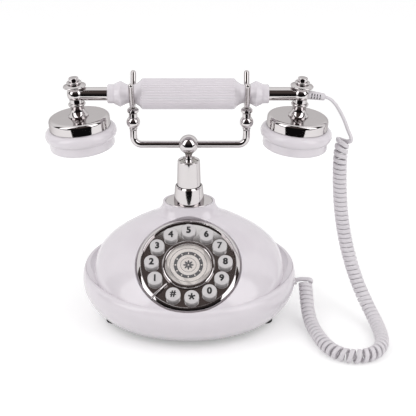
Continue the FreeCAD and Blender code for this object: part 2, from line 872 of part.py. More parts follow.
def board_screw_spots():
    for i in range(4):
        angle = Size(45 + 90 * i, repr(45.0 + 90 * i))
        yield d.board_screw_circle * sine(angle), d.board_screw_circle * cosine(angle)


def make_keypad():
    room = d.dial_opening - d.plate_gap
    top = membrane_top()
    board_top = -d.seat_thick
    sheet = cylinder("membrane_sheet", room, top - board_top, 0, 0, board_top)
    domes = []
    for i in range(int(SIZES["key_count"])):
        across, up = key_spot(i)
        dome = doc.addObject("Part::Cone", "membrane_dome_%d" % i)
        bind(dome, "Radius1", d.membrane_dome_radius)
        bind(dome, "Radius2", d.membrane_dome_radius * 0.7)
        bind(dome, "Height", d.membrane_dome)
        domes.append(place(dome, across, up, top))
    membrane = fuse("membrane_whole", [sheet] + domes)
    node(dial_place(membrane), "keypad_membrane")
    disc = cylinder("keypad_board_disc", d.board_radius, d.board_thick, 0, 0, board_top - d.board_thick)
    holes = []
    for i, (across, up) in enumerate(board_screw_spots()):
        holes.append(cylinder(
            "board_hole_%d" % i, d.small_screw_radius + d.screw_gap, d.board_thick * 3,
            across, up, board_top - d.board_thick * 2))
    board = cut("keypad_board_cut", disc, group("board_holes", holes))
    node(dial_place(board), "keypad_board")


def small_screw(name):
    """Screw with its head at the bottom and its thread upward."""
    return turned(name, [
        (0, 0), (d.small_head_radius, 0), (d.small_head_radius, d.small_head_thick),
        (d.small_screw_radius, d.small_head_thick), (d.small_screw_radius, d.small_screw_length),
        (0, d.small_screw_length)])


def standoff_spots():
    half = d.main_board_width / 2 - d.standoff_inset
    for x in (-half, half):
        for y in (d.main_board_front + d.standoff_inset, d.standoff_rear):
            yield x, y


def make_board_screws():
    screws = []
    for i, (across, up) in enumerate(board_screw_spots()):
        out = -d.seat_thick - d.board_thick - d.small_head_thick
        screws.append(dial_place(small_screw("keypad_screw_%d" % i), across, up, out))
    head = d.main_board_height + d.board_thick + d.small_head_thick
    for i, (x, y) in enumerate(standoff_spots()):
        screws.append(place(small_screw("main_screw_%d" % i), x, y, head, Rotation(Vector(1, 0, 0), 180)))
    return node(group("board_screws_group", screws), "board_screws")


def make_main_board():
    board = box(
        "main_board_sheet", d.main_board_width, d.main_board_rear - d.main_board_front, d.board_thick,
        -d.main_board_width / 2, d.main_board_front, d.main_board_height)
    holes = []
    for i, (x, y) in enumerate(standoff_spots()):
        holes.append(cylinder(
            "main_hole_%d" % i, d.small_screw_radius + d.screw_gap, d.board_thick * 3,
            x, y, d.main_board_height - d.board_thick))
    return node(cut("main_board_cut", board, group("main_holes", holes)), "main_board")


def make_switch():
    top = d.main_board_height + d.board_thick
    case = box(
        "switch_case", d.switch_width, d.switch_depth, d.switch_height,
        -d.switch_width / 2, d.pedestal_y - d.switch_depth / 2, top)
    button = cylinder(
        "switch_button", d.switch_button_radius, d.switch_button_height, 0, d.pedestal_y,
        top + d.switch_height)
    return node(fuse("hook_switch_whole", [case, button]), "hook_switch")


def make_ringer():
    lip = d.ringer_height * 0.2
    ringer = turned("ringer", [
        (0, 0), (d.ringer_radius, 0), (d.ringer_radius, lip), (d.ringer_radius * 0.9, lip),
        (d.ringer_radius * 0.9, d.ringer_height * 0.55), (d.ringer_radius * 0.55, d.ringer_height * 0.65),
        (d.ringer_radius * 0.55, d.ringer_height), (0, d.ringer_height)])
    return node(place(ringer, d.ringer_x, d.ringer_y, d.foot_height + d.plate_thick), "ringer")


def make_line_jack():
    front = jack_front()
    case = box(
        "jack_case", d.jack_width, d.jack_depth, d.jack_height,
        -d.jack_width / 2, front - SIZES["jack_depth"], d.main_board_height + d.board_thick)
    socket = box(
        "jack_socket", d.socket_width, d.socket_depth * 2, d.socket_height,
        -d.socket_width / 2, front - SIZES["socket_depth"],
        d.main_board_height + d.board_thick + (d.jack_height - d.socket_height) / 2)
    return node(cut("line_jack_cut", case, socket), "line_jack")


def make_entry_bush():
    spot, way = entry_axis()
    turn = Rotation(UP, way)
    start = spot - way * d.entry_bush_depth.value
    length = d.entry_bush_depth + d.entry_bush_proud
    edge = d.entry_bush_radius * 0.25
    bush = turned("cord_bush", [
        (0, 0), (d.entry_bush_radius, 0), (d.entry_bush_radius, length - edge),
        convex(edge), (d.entry_bush_radius - edge, length), (0, length)])
    return node(place(bush, start.x, start.y, start.z, turn), "cord_bush")


def flange_top():
    return d.neck_height - d.flange_recess + d.flange_thick


def make_pedestal():
    low = Vector(0, SIZES["pedestal_y"], SIZES["neck_height"] - SIZES["flange_recess"])
    plate = Part.Face(ellipse_wire(SIZES["flange_half_width"], SIZES["flange_half_depth"], low))
    plate = plate.extrude(Vector(0, 0, SIZES["flange_thick"]))
    hole = Part.makeCylinder(SIZES["spigot_radius"] + SIZES["spigot_gap"], FAR, low)
    plate = plate.cut(hole)
    rim = [e for e in plate.Edges if e.CenterOfMass.z > low.z + SIZES["flange_thick"] * 0.9
           and e.BoundBox.XLength > SIZES["flange_half_width"] * 1.5]
    plate = plate.makeFillet(SIZES["flange_thick"] * 0.4, rim)
    node(shaped("pedestal_flange", plate), "pedestal_flange")

    foot = flange_top()
    bore = d.column_foot_radius + d.spigot_gap
    skirt = turned("pedestal_collar", [
        (bore, 0), (d.skirt_foot_radius, 0), (d.skirt_top_radius, d.skirt_height - d.skirt_chamfer),
        (d.skirt_top_radius - d.skirt_chamfer * 0.9, d.skirt_height), (bore, d.skirt_height)])
    node(place(skirt, 0, d.pedestal_y, foot), "pedestal_collar")

    start = foot - d.spigot_length
    high = d.column_top_height - start
    shoulder = d.spigot_length
    chamber = d.chamber_floor - start
    seat = high - d.rim_drop - d.bush_thick
    rim = d.column_rim
    guide = d.stem_radius + d.stem_gap
    column = turned("pedestal_column", [
        (guide, 0), (d.spigot_radius, 0), (d.spigot_radius, shoulder), (d.column_foot_radius, shoulder),
        (d.column_top_radius, high - rim), convex(rim), (d.column_top_radius - rim, high),
        (d.bush_radius + d.spigot_gap, high - d.rim_drop * 0.6), (d.bush_radius + d.spigot_gap, seat),
        (d.chamber_radius, seat), (d.chamber_radius, chamber), (guide, chamber)])
    node(place(column, 0, d.pedestal_y, start), "pedestal_column")

    bush = turned("stem_bush", [
        (guide, 0), (d.bush_radius, 0), (d.bush_radius, d.bush_thick), (guide, d.bush_thick - d.bush_dish)])
    node(place(bush, 0, d.pedestal_y, start + seat), "stem_bush")

    ceiling = d.neck_height - d.flange_recess - d.neck_top_wall
    nut = turned("pedestal_nut", [
        (d.spigot_radius + d.spigot_gap, 0), (d.nut_radius, 0), (d.nut_radius, d.nut_thick),
        (d.spigot_radius + d.spigot_gap, d.nut_thick)])
    node(place(nut, 0, d.pedestal_y, ceiling - d.nut_thick), "pedestal_nut")


def bush_seat():
    return d.column_top_height - d.rim_drop - d.bush_thick


def stop_top():
    """Top of the stem's stop, a running gap short of the bush when the hook is up."""
    return bush_seat() - d.hook_travel - d.running_gap


def stem_bottom():
    return d.main_board_height + d.board_thick + d.switch_height + d.switch_button_height + d.running_gap


def make_stem():
    low = stem_bottom()
    ball = d.cradle_ball_radius
    middle = d.cradle_height - low
    flare = d.stem_flare_radius
    under = middle - root(ball * ball - flare * flare)
    dish = bush_seat() + d.bush_thick + d.running_gap - low
    waist = (under + dish) / 2
    curve = (under - dish) * 0.9
    stop = stop_top() - low
    stem = turned("cradle_stem_turned", [
        (0, 0), (d.stem_radius, 0), (d.stem_radius, stop - d.stop_thick),
        (d.stop_radius, stop - d.stop_thick),
        (d.stop_radius, stop), (d.stem_radius, stop), (d.stem_radius, dish), (flare, dish),
        concave(curve), (d.stem_neck_radius + (flare - d.stem_neck_radius) * 0.2, waist),
        concave(curve), (flare, under), convex(ball), (ball, middle), convex(ball), (0, middle + ball)])
    hole = cylinder(
        "stem_rod_hole", d.rod_radius + d.rod_gap, ball * 4, ball * -2, 0, middle, ALONG_X)
    whole = cut("cradle_stem_cut", stem, hole)
    return node(place(whole, 0, d.pedestal_y, low), "cradle_stem")


def make_hook_spring():
    wire = SIZES["spring_wire"]
    low = SIZES["chamber_floor"] + wire
    high = (stop_top() - d.stop_thick).value - wire
    line = [Vector(0, SIZES["pedestal_y"], low + (high - low) * i / 4) for i in range(5)]
    edges = curl_edges(line, SIZES["spring_radius"], SIZES["spring_turns"], 2 * wire, wire, "hook spring")
    return node(shaped("hook_spring", tube_solid(edges, wire / 2)), "hook_spring")


def rounded_path(points, bend):
    """Edges of straight runs with the same tangent arc at every corner."""
    edges = []
    start = points[0]
    for before, corner, after in zip(points, points[1:], points[2:]):
        back = (before - corner).normalize()
        ahead = (after - corner).normalize()
        half_turn = (math.pi - back.getAngle(ahead)) / 2
        reach = bend * math.tan(half_turn)
        first, last = corner + back * reach, corner + ahead * reach
        inward = (back + ahead).normalize()
        middle = corner + inward * (bend / math.cos(half_turn) - bend)
        edges.append(Part.LineSegment(start, first).toShape())
        edges.append(Part.Arc(first, middle, last).toShape())
        start = last
    edges.append(Part.LineSegment(start, points[-1]).toShape())
    return edges


def make_rod():
    x, y, z = SIZES["upright_x"], SIZES["pedestal_y"], SIZES["cradle_height"]
    top = SIZES["upright_top"]
    left, right = SIZES["cradle_shift"] - x, SIZES["cradle_shift"] + x
    points = [Vector(left, y, top), Vector(left, y, z), Vector(right, y, z), Vector(right, y, top)]
    return node(shaped("cradle_rod", tube_solid(rounded_path(points, SIZES["rod_bend"]),
        SIZES["rod_radius"])),
                "cradle_rod")


def fork_middle():
    """Height of the middle of the fork's bar at the bottom of its saddle."""
    return d.handset_height - d.collar_neck_radius - d.fork_gap - d.fork_radius


def make_knobs_and_forks():
    base = d.upright_top
    bead = d.knob_bead_height
    ball_top = bead + d.knob_height
    neck_top = ball_top + d.knob_neck_height
    high = fork_middle() - d.fork_radius - base
    round_bead = bead / 2
    for side, sign in (("left", -1), ("right", 1)):
        knob = turned("cradle_knob_" + side + "_turned", [
            (0, 0), (d.knob_bead_radius - round_bead, 0), convex(round_bead),
            (d.knob_bead_radius, round_bead),
            convex(round_bead), (d.knob_bead_radius - round_bead, bead), (d.knob_neck_radius, bead),
            convex(d.knob_radius), (d.knob_radius, bead + d.knob_height / 2),
            convex(d.knob_radius), (d.knob_neck_radius, ball_top), (d.knob_neck_radius, neck_top),
            (d.knob_cap_radius, neck_top + (high - neck_top) * 0.3),
            (d.knob_cap_radius, neck_top + (high - neck_top) * 0.7),
            (d.knob_neck_radius, high), (0, high)])
        peg_hole = cylinder(
            "peg_hole_" + side, d.fork_peg_radius + d.rod_gap, d.fork_peg_length * 2, 0, 0,
            high - d.fork_peg_length - d.rod_gap)
        whole = cut("cradle_knob_" + side + "_cut", knob, peg_hole)
        node(place(whole, d.cradle_shift + sign * d.upright_x, d.pedestal_y, base), "cradle_knob_" + side)
        node(shaped("cradle_fork_" + side, fork_solid(sign)), "cradle_fork_" + side)


def fork_solid(sign):
    """Two prongs that rise from a round saddle under the handset's collar, with a peg below."""
    x = SIZES["cradle_shift"] + sign * SIZES["upright_x"]
    middle = Vector(x, SIZES["pedestal_y"], SIZES["handset_height"])
    thick = SIZES["fork_radius"]
    saddle = SIZES["handset_height"] - fork_middle().value
    tip = Vector(0, SIZES["fork_spread"], SIZES["fork_rise"])
    angle = math.atan2(tip.z, tip.y) - math.acos(saddle / tip.Length)
    touch = Vector(0, math.cos(angle), math.sin(angle)) * saddle
    mirror = Vector(1, -1, 1)
    tip_front = Vector(tip.x, tip.y * mirror.y, tip.z)
    touch_front = Vector(touch.x, touch.y * mirror.y, touch.z)
    edges = [
        Part.LineSegment(middle + tip, middle + touch).toShape(),
        Part.Arc(middle + touch, middle - UP * saddle, middle + touch_front).toShape(),
        Part.LineSegment(middle + touch_front, middle + tip_front).toShape(),
    ]
    solid = tube_solid(edges, thick)
    for end in (tip, tip_front):
        solid = solid.fuse(Part.makeSphere(thick, middle + end))
    peg_top = middle - UP * saddle
    length = SIZES["fork_peg_length"] + thick
    peg = Part.makeCylinder(SIZES["fork_peg_radius"], length, peg_top - UP * length)
    return solid.fuse(peg).removeSplitter()


def make_handset_tube():
    end = d.knuckle_x - root(d.knuckle_radius * d.knuckle_radius - d.tube_radius * d.tube_radius)
    tube = turned("handset_tube", [
        (d.tube_radius - d.tube_wall, 0), (d.tube_radius, 0), (d.tube_radius, end * 2),
        (d.tube_radius - d.tube_wall, end * 2)])
    return node(place(tube, -end, d.pedestal_y, d.handset_height, ALONG_X), "handset_tube")


def make_grip():
    length = d.grip_half_length * 2
    bore = d.tube_radius + d.sleeve_gap
    body = turned("handset_grip", [
        (bore, 0), (d.grip_radius - d.grip_chamfer, 0), (d.grip_radius, d.grip_chamfer),
        (d.grip_radius, length - d.grip_chamfer), (d.grip_radius - d.grip_chamfer, length), (bore, length)])
    doc.recompute()
    plain = body.Shape.Volume
    sketch = sketch_on(body, "flute_outline", "XY_Plane")
    reach = d.grip_radius + d.flute_radius - d.flute_depth
    circle = sketch.addGeometry(Part.Circle(Vector(reach.value, 0, 0), UP, d.flute_radius.value))
    sketch.addConstraint(Sketcher.Constraint("PointOnObject", circle, 3, -1))
    index = sketch.addConstraint(Sketcher.Constraint("DistanceX", -1, 1, circle, 3, reach.value))
    sketch.setExpression("Constraints[%d]" % index, reach.text)
    index = sketch.addConstraint(Sketcher.Constraint("Radius", circle, d.flute_radius.value))
    sketch.setExpression("Constraints[%d]" % index, d.flute_radius.text)
    flute = body.newObject("PartDesign::Pocket", "flute")
    flute.Profile = sketch
    flute.Type = "ThroughAll"
    flute.Reversed = True
    pattern = body.newObject("PartDesign::PolarPattern", "flutes")
    pattern.Originals = [flute]
    pattern.Axis = (origin_feature(body, "Z_Axis"), [""])
    pattern.Angle = 360
    bind(pattern, "Occurrences", d.flute_count)
    body.Tip = pattern
    doc.recompute()
    if body.Shape.Volume >= plain:
        raise RuntimeError("the flutes cut nothing from the grip")
    return node(place(body, -d.grip_half_length, d.pedestal_y, d.handset_height, ALONG_X), "handset_grip")


def make_collars():
    """White turned collars between the grip and the chrome tube; the forks take their necks."""
    start = d.grip_half_length
    bore = d.tube_radius + d.sleeve_gap
    neck = d.upright_x - start
    ring = d.collar_ring_x - start
    end = d.collar_end_x - start
    step = end - d.collar_end_length
    curve = d.collar_neck_curve
    lead = neck * 0.42
    crown = d.collar_ring_radius * 0.12
    for side, sign in (("left", -1), ("right", 1)):
        low_radius = d.collar_neck_radius
        flank = low_radius + (d.collar_flare_radius - low_radius) * 0.32
        collar = turned("handset_collar_" + side, [
            (bore, 0), (d.collar_flare_radius, 0), (flank, lead),
            concave(curve), (low_radius, neck), concave(curve), (flank, neck + (neck - lead)),
            (d.collar_ring_radius - crown * 0.4, ring - crown), convex(crown * 1.4),
            (d.collar_ring_radius - crown * 0.4, ring + crown),
            (d.collar_end_radius + crown * 0.5, step), (d.collar_end_radius, step),
            (d.collar_end_radius, end - crown * 0.5), (d.collar_end_radius - crown * 0.5, end),
            (bore, end)])
        turn = Rotation(Vector(0, 1, 0), 90 * sign)
        node(place(collar, sign * start, d.pedestal_y, d.handset_height, turn), "handset_collar_" + side)


def cup_place(obj, sign, height, x, y, z):
    """Places a piece on a cup's axis, which leans in about the knuckle's middle at x, y, z."""
    lean, upright = sine(d.cup_tilt), cosine(d.cup_tilt)
    turn = Rotation(Vector(0, 1, 0), sign * SIZES["cup_tilt"])
    return place(obj, x + sign * (height * lean), y, z + height * upright, turn)


def handset_place(obj, sign, height):
    """Places a piece of the handset at a height over the middle of the left or right knuckle."""
    return cup_place(obj, sign, height, sign * d.knuckle_x, d.pedestal_y, d.handset_height)


def make_knuckles():
    """Ball knuckles that carry the cups: an arm into the tube, a finial on top, a stud through the cap."""
    foot = d.knuckle_foot_drop
    low = foot + d.stud_length
    middle = low
    ball = d.knuckle_radius
    bead = low - d.knuckle_bead_drop
    half_bead = d.knuckle_bead_height / 2
    neck = (bead - half_bead + d.stud_length) / 2
    flat = d.knuckle_flat
    flat_radius = root(ball * ball - flat * flat)
    curve = (bead - half_bead - d.stud_length) * 1.05
    waist = d.knuckle_neck_radius
    join = root(ball * ball - waist * waist)
    arm_bore = d.tube_radius - d.tube_wall - d.sleeve_gap
    face = root(ball * ball - d.tube_radius * d.tube_radius)
    for side, sign in (("left", -1), ("right", 1)):
        stem = turned("knuckle_" + side + "_turned", [
            (0, 0), (d.stud_radius, 0), (d.stud_radius, d.stud_length),
            (d.knuckle_foot_radius, d.stud_length),
            (d.knuckle_foot_radius, d.stud_length + 0.8), concave(curve), (waist, neck),
            concave(curve), (d.knuckle_bead_radius - half_bead, bead - half_bead), convex(half_bead),
            (d.knuckle_bead_radius, bead), convex(half_bead),
            (d.knuckle_bead_radius - half_bead, bead + half_bead),
            (waist, bead + half_bead), (waist, middle - join), convex(ball), (ball, middle), convex(ball),
            (flat_radius, middle + flat), (0, middle + flat)])
        cup_place(stem, sign, -middle, 0, 0, middle)
        inward = Rotation(Vector(0, 1, 0), -90 * sign)
        trim = cylinder("knuckle_trim_" + side, d.tube_radius + d.sleeve_gap, ball, -sign * face, 0,
            middle, inward)
        arm = cylinder("knuckle_arm_" + side, arm_bore, face + d.arm_length, 0, 0, middle, inward)
        stud_hole = cylinder(
            "finial_hole_" + side, d.finial_stud_radius + d.sleeve_gap, d.finial_stud_length + d.sleeve_gap)
        cup_place(stud_hole, sign, flat - d.finial_stud_length - d.sleeve_gap, 0, 0, middle)
        holes = [stud_hole]
        if side == "right":
            holes.append(boot_hole(middle))
        trimmed = cut("knuckle_" + side + "_trimmed", stem, trim)
        armed = fuse("knuckle_" + side + "_armed", [trimmed, arm])
        whole = cut("knuckle_" + side + "_cut", armed, group("knuckle_holes_" + side, holes))
        node(place(whole, sign * d.knuckle_x, d.pedestal_y, d.handset_height - low), "knuckle_" + side)


def boot_turn():
    slope = math.radians(SIZES["boot_slope"])
    return Rotation(UP, Vector(math.cos(slope), 0, -math.sin(slope)))


def boot_seat():
    """Distance from the knuckle's middle to the boot's flat seat."""
    return root(d.knuckle_radius * d.knuckle_radius - d.boot_start_radius * d.boot_start_radius)


def boot_hole(middle):
    seat = cylinder("boot_seat_cut", d.boot_start_radius, d.knuckle_radius,
                    boot_seat() * cosine(d.boot_slope), 0, middle - boot_seat() * sine(d.boot_slope),
                    boot_turn())
    start = boot_seat() - d.boot_peg_length - d.sleeve_gap
    peg = cylinder("boot_peg_hole", d.boot_peg_radius + d.sleeve_gap, d.boot_peg_length * 2,
                   start * cosine(d.boot_slope), 0, middle - start * sine(d.boot_slope), boot_turn())
    return fuse("boot_hole", [seat, peg])


def make_boot():
    """Tapered strain relief on the right knuckle, with slits cut from both sides."""
    start = d.boot_peg_length
    end = start + d.boot_length
    edge = d.boot_end_radius * 0.2
    boot = turned("cord_boot_turned", [
        (0, 0), (d.boot_peg_radius, 0), (d.boot_peg_radius, start), (d.boot_start_radius, start),
        (d.boot_end_radius, end - edge), (d.boot_end_radius - edge, end), (0, end)])
    slits = []
    pitch = d.boot_length / 6
    deep = d.boot_start_radius * 0.45
    for row in range(4):
        for face, shift in ((-1, 0), (1, 0.5)):
            low = start + pitch * (1 + row + shift)
            y = d.boot_start_radius * face - deep * (1 if face > 0 else 0)
            slits.append(box(
                "boot_slit_%d_%d" % (row, face + 1), d.boot_start_radius * 2, deep, pitch * 0.4,
                -d.boot_start_radius, y, low))
    whole = cut("cord_boot_cut", boot, group("boot_slits", slits))
    out = boot_seat() - start
    place(whole, d.knuckle_x + out * cosine(d.boot_slope), d.pedestal_y,
          d.handset_height - out * sine(d.boot_slope), boot_turn())
    return node(whole, "cord_boot")


def boot_end():
    reach = (boot_seat() + d.boot_length).value
    slope = math.radians(SIZES["boot_slope"])
    middle = Vector(SIZES["knuckle_x"], SIZES["pedestal_y"], SIZES["handset_height"])
    return middle + Vector(math.cos(slope), 0, -math.sin(slope)) * reach


def make_finials():
    """Bell-shaped tops of the knuckles: a flared rim, a bead and a flat knob."""
    stud = d.finial_stud_length
    rim = stud + d.finial_height * 0.05
    edge = d.finial_flange / 2
    shoulder = rim + d.finial_flange
    knob = stud + d.finial_height
    half_bead = d.finial_bead_height / 2
    bead = stud + d.finial_height * 0.4
    bead_top = bead + d.finial_bead_height
    finials = []
    for side, sign in (("left", -1), ("right", 1)):
        finial = turned("finial_" + side, [
            (0, 0), (d.finial_stud_radius, 0), (d.finial_stud_radius, stud), (d.finial_seat_radius, stud),
            (d.finial_radius - edge, rim), convex(edge), (d.finial_radius, rim + edge), convex(edge),
            (d.finial_radius - edge, shoulder), (d.finial_bead_radius - half_bead, bead),
            convex(half_bead), (d.finial_bead_radius, bead + half_bead),
            convex(half_bead), (d.finial_bead_radius - half_bead, bead_top),
            (d.finial_knob_radius, bead_top),
            (d.finial_knob_radius, knob - edge), convex(edge), (d.finial_knob_radius - edge, knob),
            (0, knob)])
        finials.append(handset_place(finial, sign, d.knuckle_flat - stud))
    return node(group("handset_finials_group", finials), "handset_finials")


def cap_top():
    """Height of a cap's top over the middle of its knuckle."""
    return -d.knuckle_foot_drop


def make_caps():
    inner = d.cap_radius - d.cap_wall
    high = d.cap_height
    hole = d.stud_radius + d.sleeve_gap
    for label, sign in (("ear_cap", -1), ("mouth_cap", 1)):
        cap = turned(label, [
            (inner, 0), (d.cap_radius, 0), (d.cap_radius, high - d.cap_round), convex(d.cap_round),
            (d.cap_radius - d.cap_round, high), (hole, high), (hole, high - d.cap_wall),
            (inner, high - d.cap_wall)])
        node(handset_place(cap, sign, cap_top() - high), label)
    nuts = []
    for i, sign in enumerate((-1, 1)):
        nut = turned("cap_nut_%d" % i, [
            (hole, 0), (d.nut_small_radius, 0), (d.nut_small_radius, d.nut_small_thick),
            (hole, d.nut_small_thick)])
        height = cap_top() - d.cap_wall - d.nut_small_thick
        nuts.append(handset_place(nut, sign, height))
    node(group("cap_nuts_group", nuts), "cap_nuts")


def cup_height():
    return d.cup_ring_height + d.cup_band_height


def make_cups():
    """White ear and mouth pieces: a rounded ring, a lower band and a dished face with holes."""
    band, ring_top = d.cup_band_height, cup_height()
    high = ring_top + d.cup_spigot_height
    spigot = d.cap_radius - d.cap_wall - d.plate_gap
    bore = spigot - d.cup_wall
    half = d.cup_ring_height / 2
    floor = d.cup_dish + d.cup_floor
    face = d.cup_band_radius - d.cup_round * 2
    step = d.cup_band_radius - d.cup_ring_radius + half
    lift = half - root(half * half - step * step)
    for label, sign, hole, rings in (
            ("earpiece", -1, d.ear_hole_radius, ((0.0, 1), (0.25, 6), (0.5, 12))),
            ("mouthpiece", 1, d.mouth_hole_radius, ((0.0, 1), (0.22, 5), (0.44, 10), (0.66, 15)))):
        cup = turned(label + "_turned", [
            (0, d.cup_dish), concave(crown(face, d.cup_dish)), (face, 0),
            (d.cup_band_radius - d.cup_round, 0),
            convex(d.cup_round), (d.cup_band_radius, d.cup_round), (d.cup_band_radius, band + lift),
            convex(half), (d.cup_ring_radius, band + half), convex(half),
            (d.cup_ring_radius - half, ring_top),
            (spigot, ring_top), (spigot, high), (bore, high), (bore, floor), (0, floor)])
        holes = []
        for share, count in rings:
            for i in range(count):
                angle = Size(360 * i / count, repr(360.0 * i / count))
                reach = face * share
                holes.append(cylinder(
                    "%s_hole_%d_%d" % (label, count, i), hole, floor * 2,
                    reach * cosine(angle), reach * sine(angle), -floor * 0.5))
        whole = cut(label + "_cut", cup, group(label + "_holes", holes))
        low = cap_top() - d.cap_height - d.cap_seam - ring_top
        node(handset_place(whole, sign, low), label)
    seat = cap_top() - d.cap_height - d.cap_seam - ring_top + floor
    for label, sign, boss in (("receiver_capsule", -1, 0.5), ("microphone_capsule", 1, 0.35)):
        radius = d.capsule_radius
        capsule = turned(label, [
            (0, 0), (radius, 0), (radius, d.capsule_height * 0.4), (radius * 0.85, d.capsule_height * 0.6),
            (radius * boss, d.capsule_height * 0.6), (radius * boss, d.capsule_height),
            (0, d.capsule_height)])
        node(handset_place(capsule, sign, seat), label)


def tube_solid(edges, radius):
    """Round tube along a smooth wire."""
    wire = Part.Wire(edges)
    first = wire.OrderedEdges[0]
    start = first.valueAt(first.FirstParameter)
    way = first.tangentAt(first.FirstParameter)
    if first.Orientation == "Reversed":
        start = first.valueAt(first.LastParameter)
        way = first.tangentAt(first.LastParameter) * -1
    ring = Part.Wire([Part.Circle(start, way, radius).toShape()])
    solid = Part.Solid(wire.makePipeShell([ring], True, False))
    solid.fix(1e-6, 1e-6, 1e-6)
    expected = math.pi * radius * radius * wire.Length
    if abs(abs(solid.Volume) - expected) > 0.03 * expected:
        raise RuntimeError("tube volume %.1f, expected %.1f" % (solid.Volume, expected))
    return solid


def cord_path(points, name):
    """Straight runs joined by arcs as large as the runs allow; prints the arc radii in millimetres."""
    edges = []
    start = points[0]
    radii = []
    for before, corner, after in zip(points, points[1:], points[2:]):
        back, ahead = before - corner, after - corner
        shorter = min(back.Length, ahead.Length)
        reach = 0.45 * shorter
        back.normalize()
        ahead.normalize()
        half_turn = (math.pi - back.getAngle(ahead)) / 2
        bend = reach / math.tan(half_turn)
        radii.append(bend)
        first, last = corner + back * reach, corner + ahead * reach
        inward = (back + ahead).normalize()
        middle = corner + inward * (bend / math.cos(half_turn) - bend)
        edges.append(Part.LineSegment(start, first).toShape())
        edges.append(Part.Arc(first, middle, last).toShape())
        start = last
    edges.append(Part.LineSegment(start, points[-1]).toShape())
    print(name, "radii", [round(r, 1) for r in radii], "length", round(sum(e.Length for e in edges), 1))
    return edges


def line_curve(points):
    """Quadratic spline with the points as its control points, clamped at both ends."""
    spans = len(points) - 2
    curve = Part.BSplineCurve()
    knots = [float(i) for i in range(spans + 1)]
    curve.buildFromPolesMultsKnots(points, [3] + [1] * (spans - 1) + [3], knots, False, 2)
    return curve


def biarc(start, start_way, end, end_way):
    """Two tangent arcs from one point and direction to another."""
    span = end - start
    ways = start_way + end_way
    short = 2 * (1 - start_way.dot(end_way))
    across = span.dot(ways)
    reach = (math.sqrt(across * across + short * span.dot(span)) - across) / short
    join = (start + end + (start_way - end_way) * reach) * 0.5
    arcs = []
    for a, b, corner in ((start, join, start + start_way * reach), (join, end, end - end_way * reach)):
        middle = (a + b) * 0.5
        half = (b - a).Length / 2
        to_corner = corner - middle
        slope = math.atan2(to_corner.Length, half)
        sag = half * math.tan(slope / 2)
        arcs.append(Part.Arc(a, middle + to_corner.normalize() * sag, b))
    return arcs


def curl_frames(curve, count):
    """Points along a curve at even lengths, each with its direction and a side that doesn't twist."""
    edge = curve.toShape()
    frames = []
    side = None
    for i in range(count + 1):
        at = edge.getParameterByLength(edge.Length * i / count)
        way = edge.tangentAt(at).normalize()
        if side is None:
            side = Vector(1, 0, 0)
        side = (side - way * side.dot(way)).normalize()
        frames.append((edge.valueAt(at), way, side))
    return frames, edge.Length


def curl_edges(line, radius, turns, ramp, thick, name):
    """Helix round a line, whose ends ease out along the line and run straight for one thickness."""
    curve = line_curve(line)
    fine = 4000
    frames, length = curl_frames(curve, fine)

    def angle_at(along):
        """Angle of the helix, with a rate that rises from nothing over the ramp at each end."""
        near = min(along, length - along)
        eased = near * near / (2 * ramp) if near < ramp else near - ramp / 2
        total = length - ramp
        share = eased if along <= length / 2 else total - eased
        return 2 * math.pi * turns * share / total

    def spot(along):
        place_in = min(max(along / length * fine, 0.0), float(fine))
        i = min(int(place_in), fine - 1)
        mix = place_in - i
        a, b = frames[i], frames[i + 1]
        middle = a[0] + (b[0] - a[0]) * mix
        side = (a[2] + (b[2] - a[2]) * mix).normalize()
        way = (a[1] + (b[1] - a[1]) * mix).normalize()
        angle = angle_at(along)
        return middle + (side * math.cos(angle) + way.cross(side) * math.sin(angle)) * radius

    def heading(along):
        step = 1e-3
        if along < step:
            return frames[0][1]
        if along > length - step:
            return frames[-1][1]
        return (spot(along + step) - spot(along - step)).normalize()

    marks = [0.0]
    whole = angle_at(length)
    target_step = 2 * math.pi / (2 * ARC_STEPS_PER_TURN)
    wanted = target_step
    steps = int(40 * turns)
    for i in range(1, steps):
        along = length * i / steps
        if angle_at(along) >= wanted and whole - angle_at(along) > target_step * 0.6:
            marks.append(along)
            wanted = angle_at(along) + target_step
    marks.append(length)
    arcs = []
    for a, b in zip(marks, marks[1:]):
        arcs += [arc.toShape() for arc in biarc(spot(a), heading(a), spot(b), heading(b))]
    radii = [arc.Curve.Radius for arc in arcs]
    first, last = spot(0.0), spot(length)
    edges = [Part.LineSegment(first - frames[0][1] * thick, first).toShape()] + arcs
    edges.append(Part.LineSegment(last, last + frames[-1][1] * thick).toShape())
    gap = least_gap(spot, length, turns, radius) - thick
    wire_length = sum(e.Length for e in edges)
    print(name, "curls", turns, "tightest arc %.2f" % min(radii), "least gap %.2f" % gap,
          "wire length %.0f" % wire_length)
    return edges


def least_gap(spot, length, turns, radius):
    """Least distance between points of the helix that are over half a turn apart."""
    per_turn = 24
    count = int(turns * per_turn)
    points = [spot(length * i / count) for i in range(count + 1)]
    least = 1e9
    for i, p in enumerate(points):
        for j in range(i + int(per_turn * 0.6), min(i + 3 * per_turn, count + 1)):
            q = points[j]
            dx, dy, dz = p.x - q.x, p.y - q.y, p.z - q.z
            least = min(least, dx * dx + dy * dy + dz * dz)
    return math.sqrt(least)


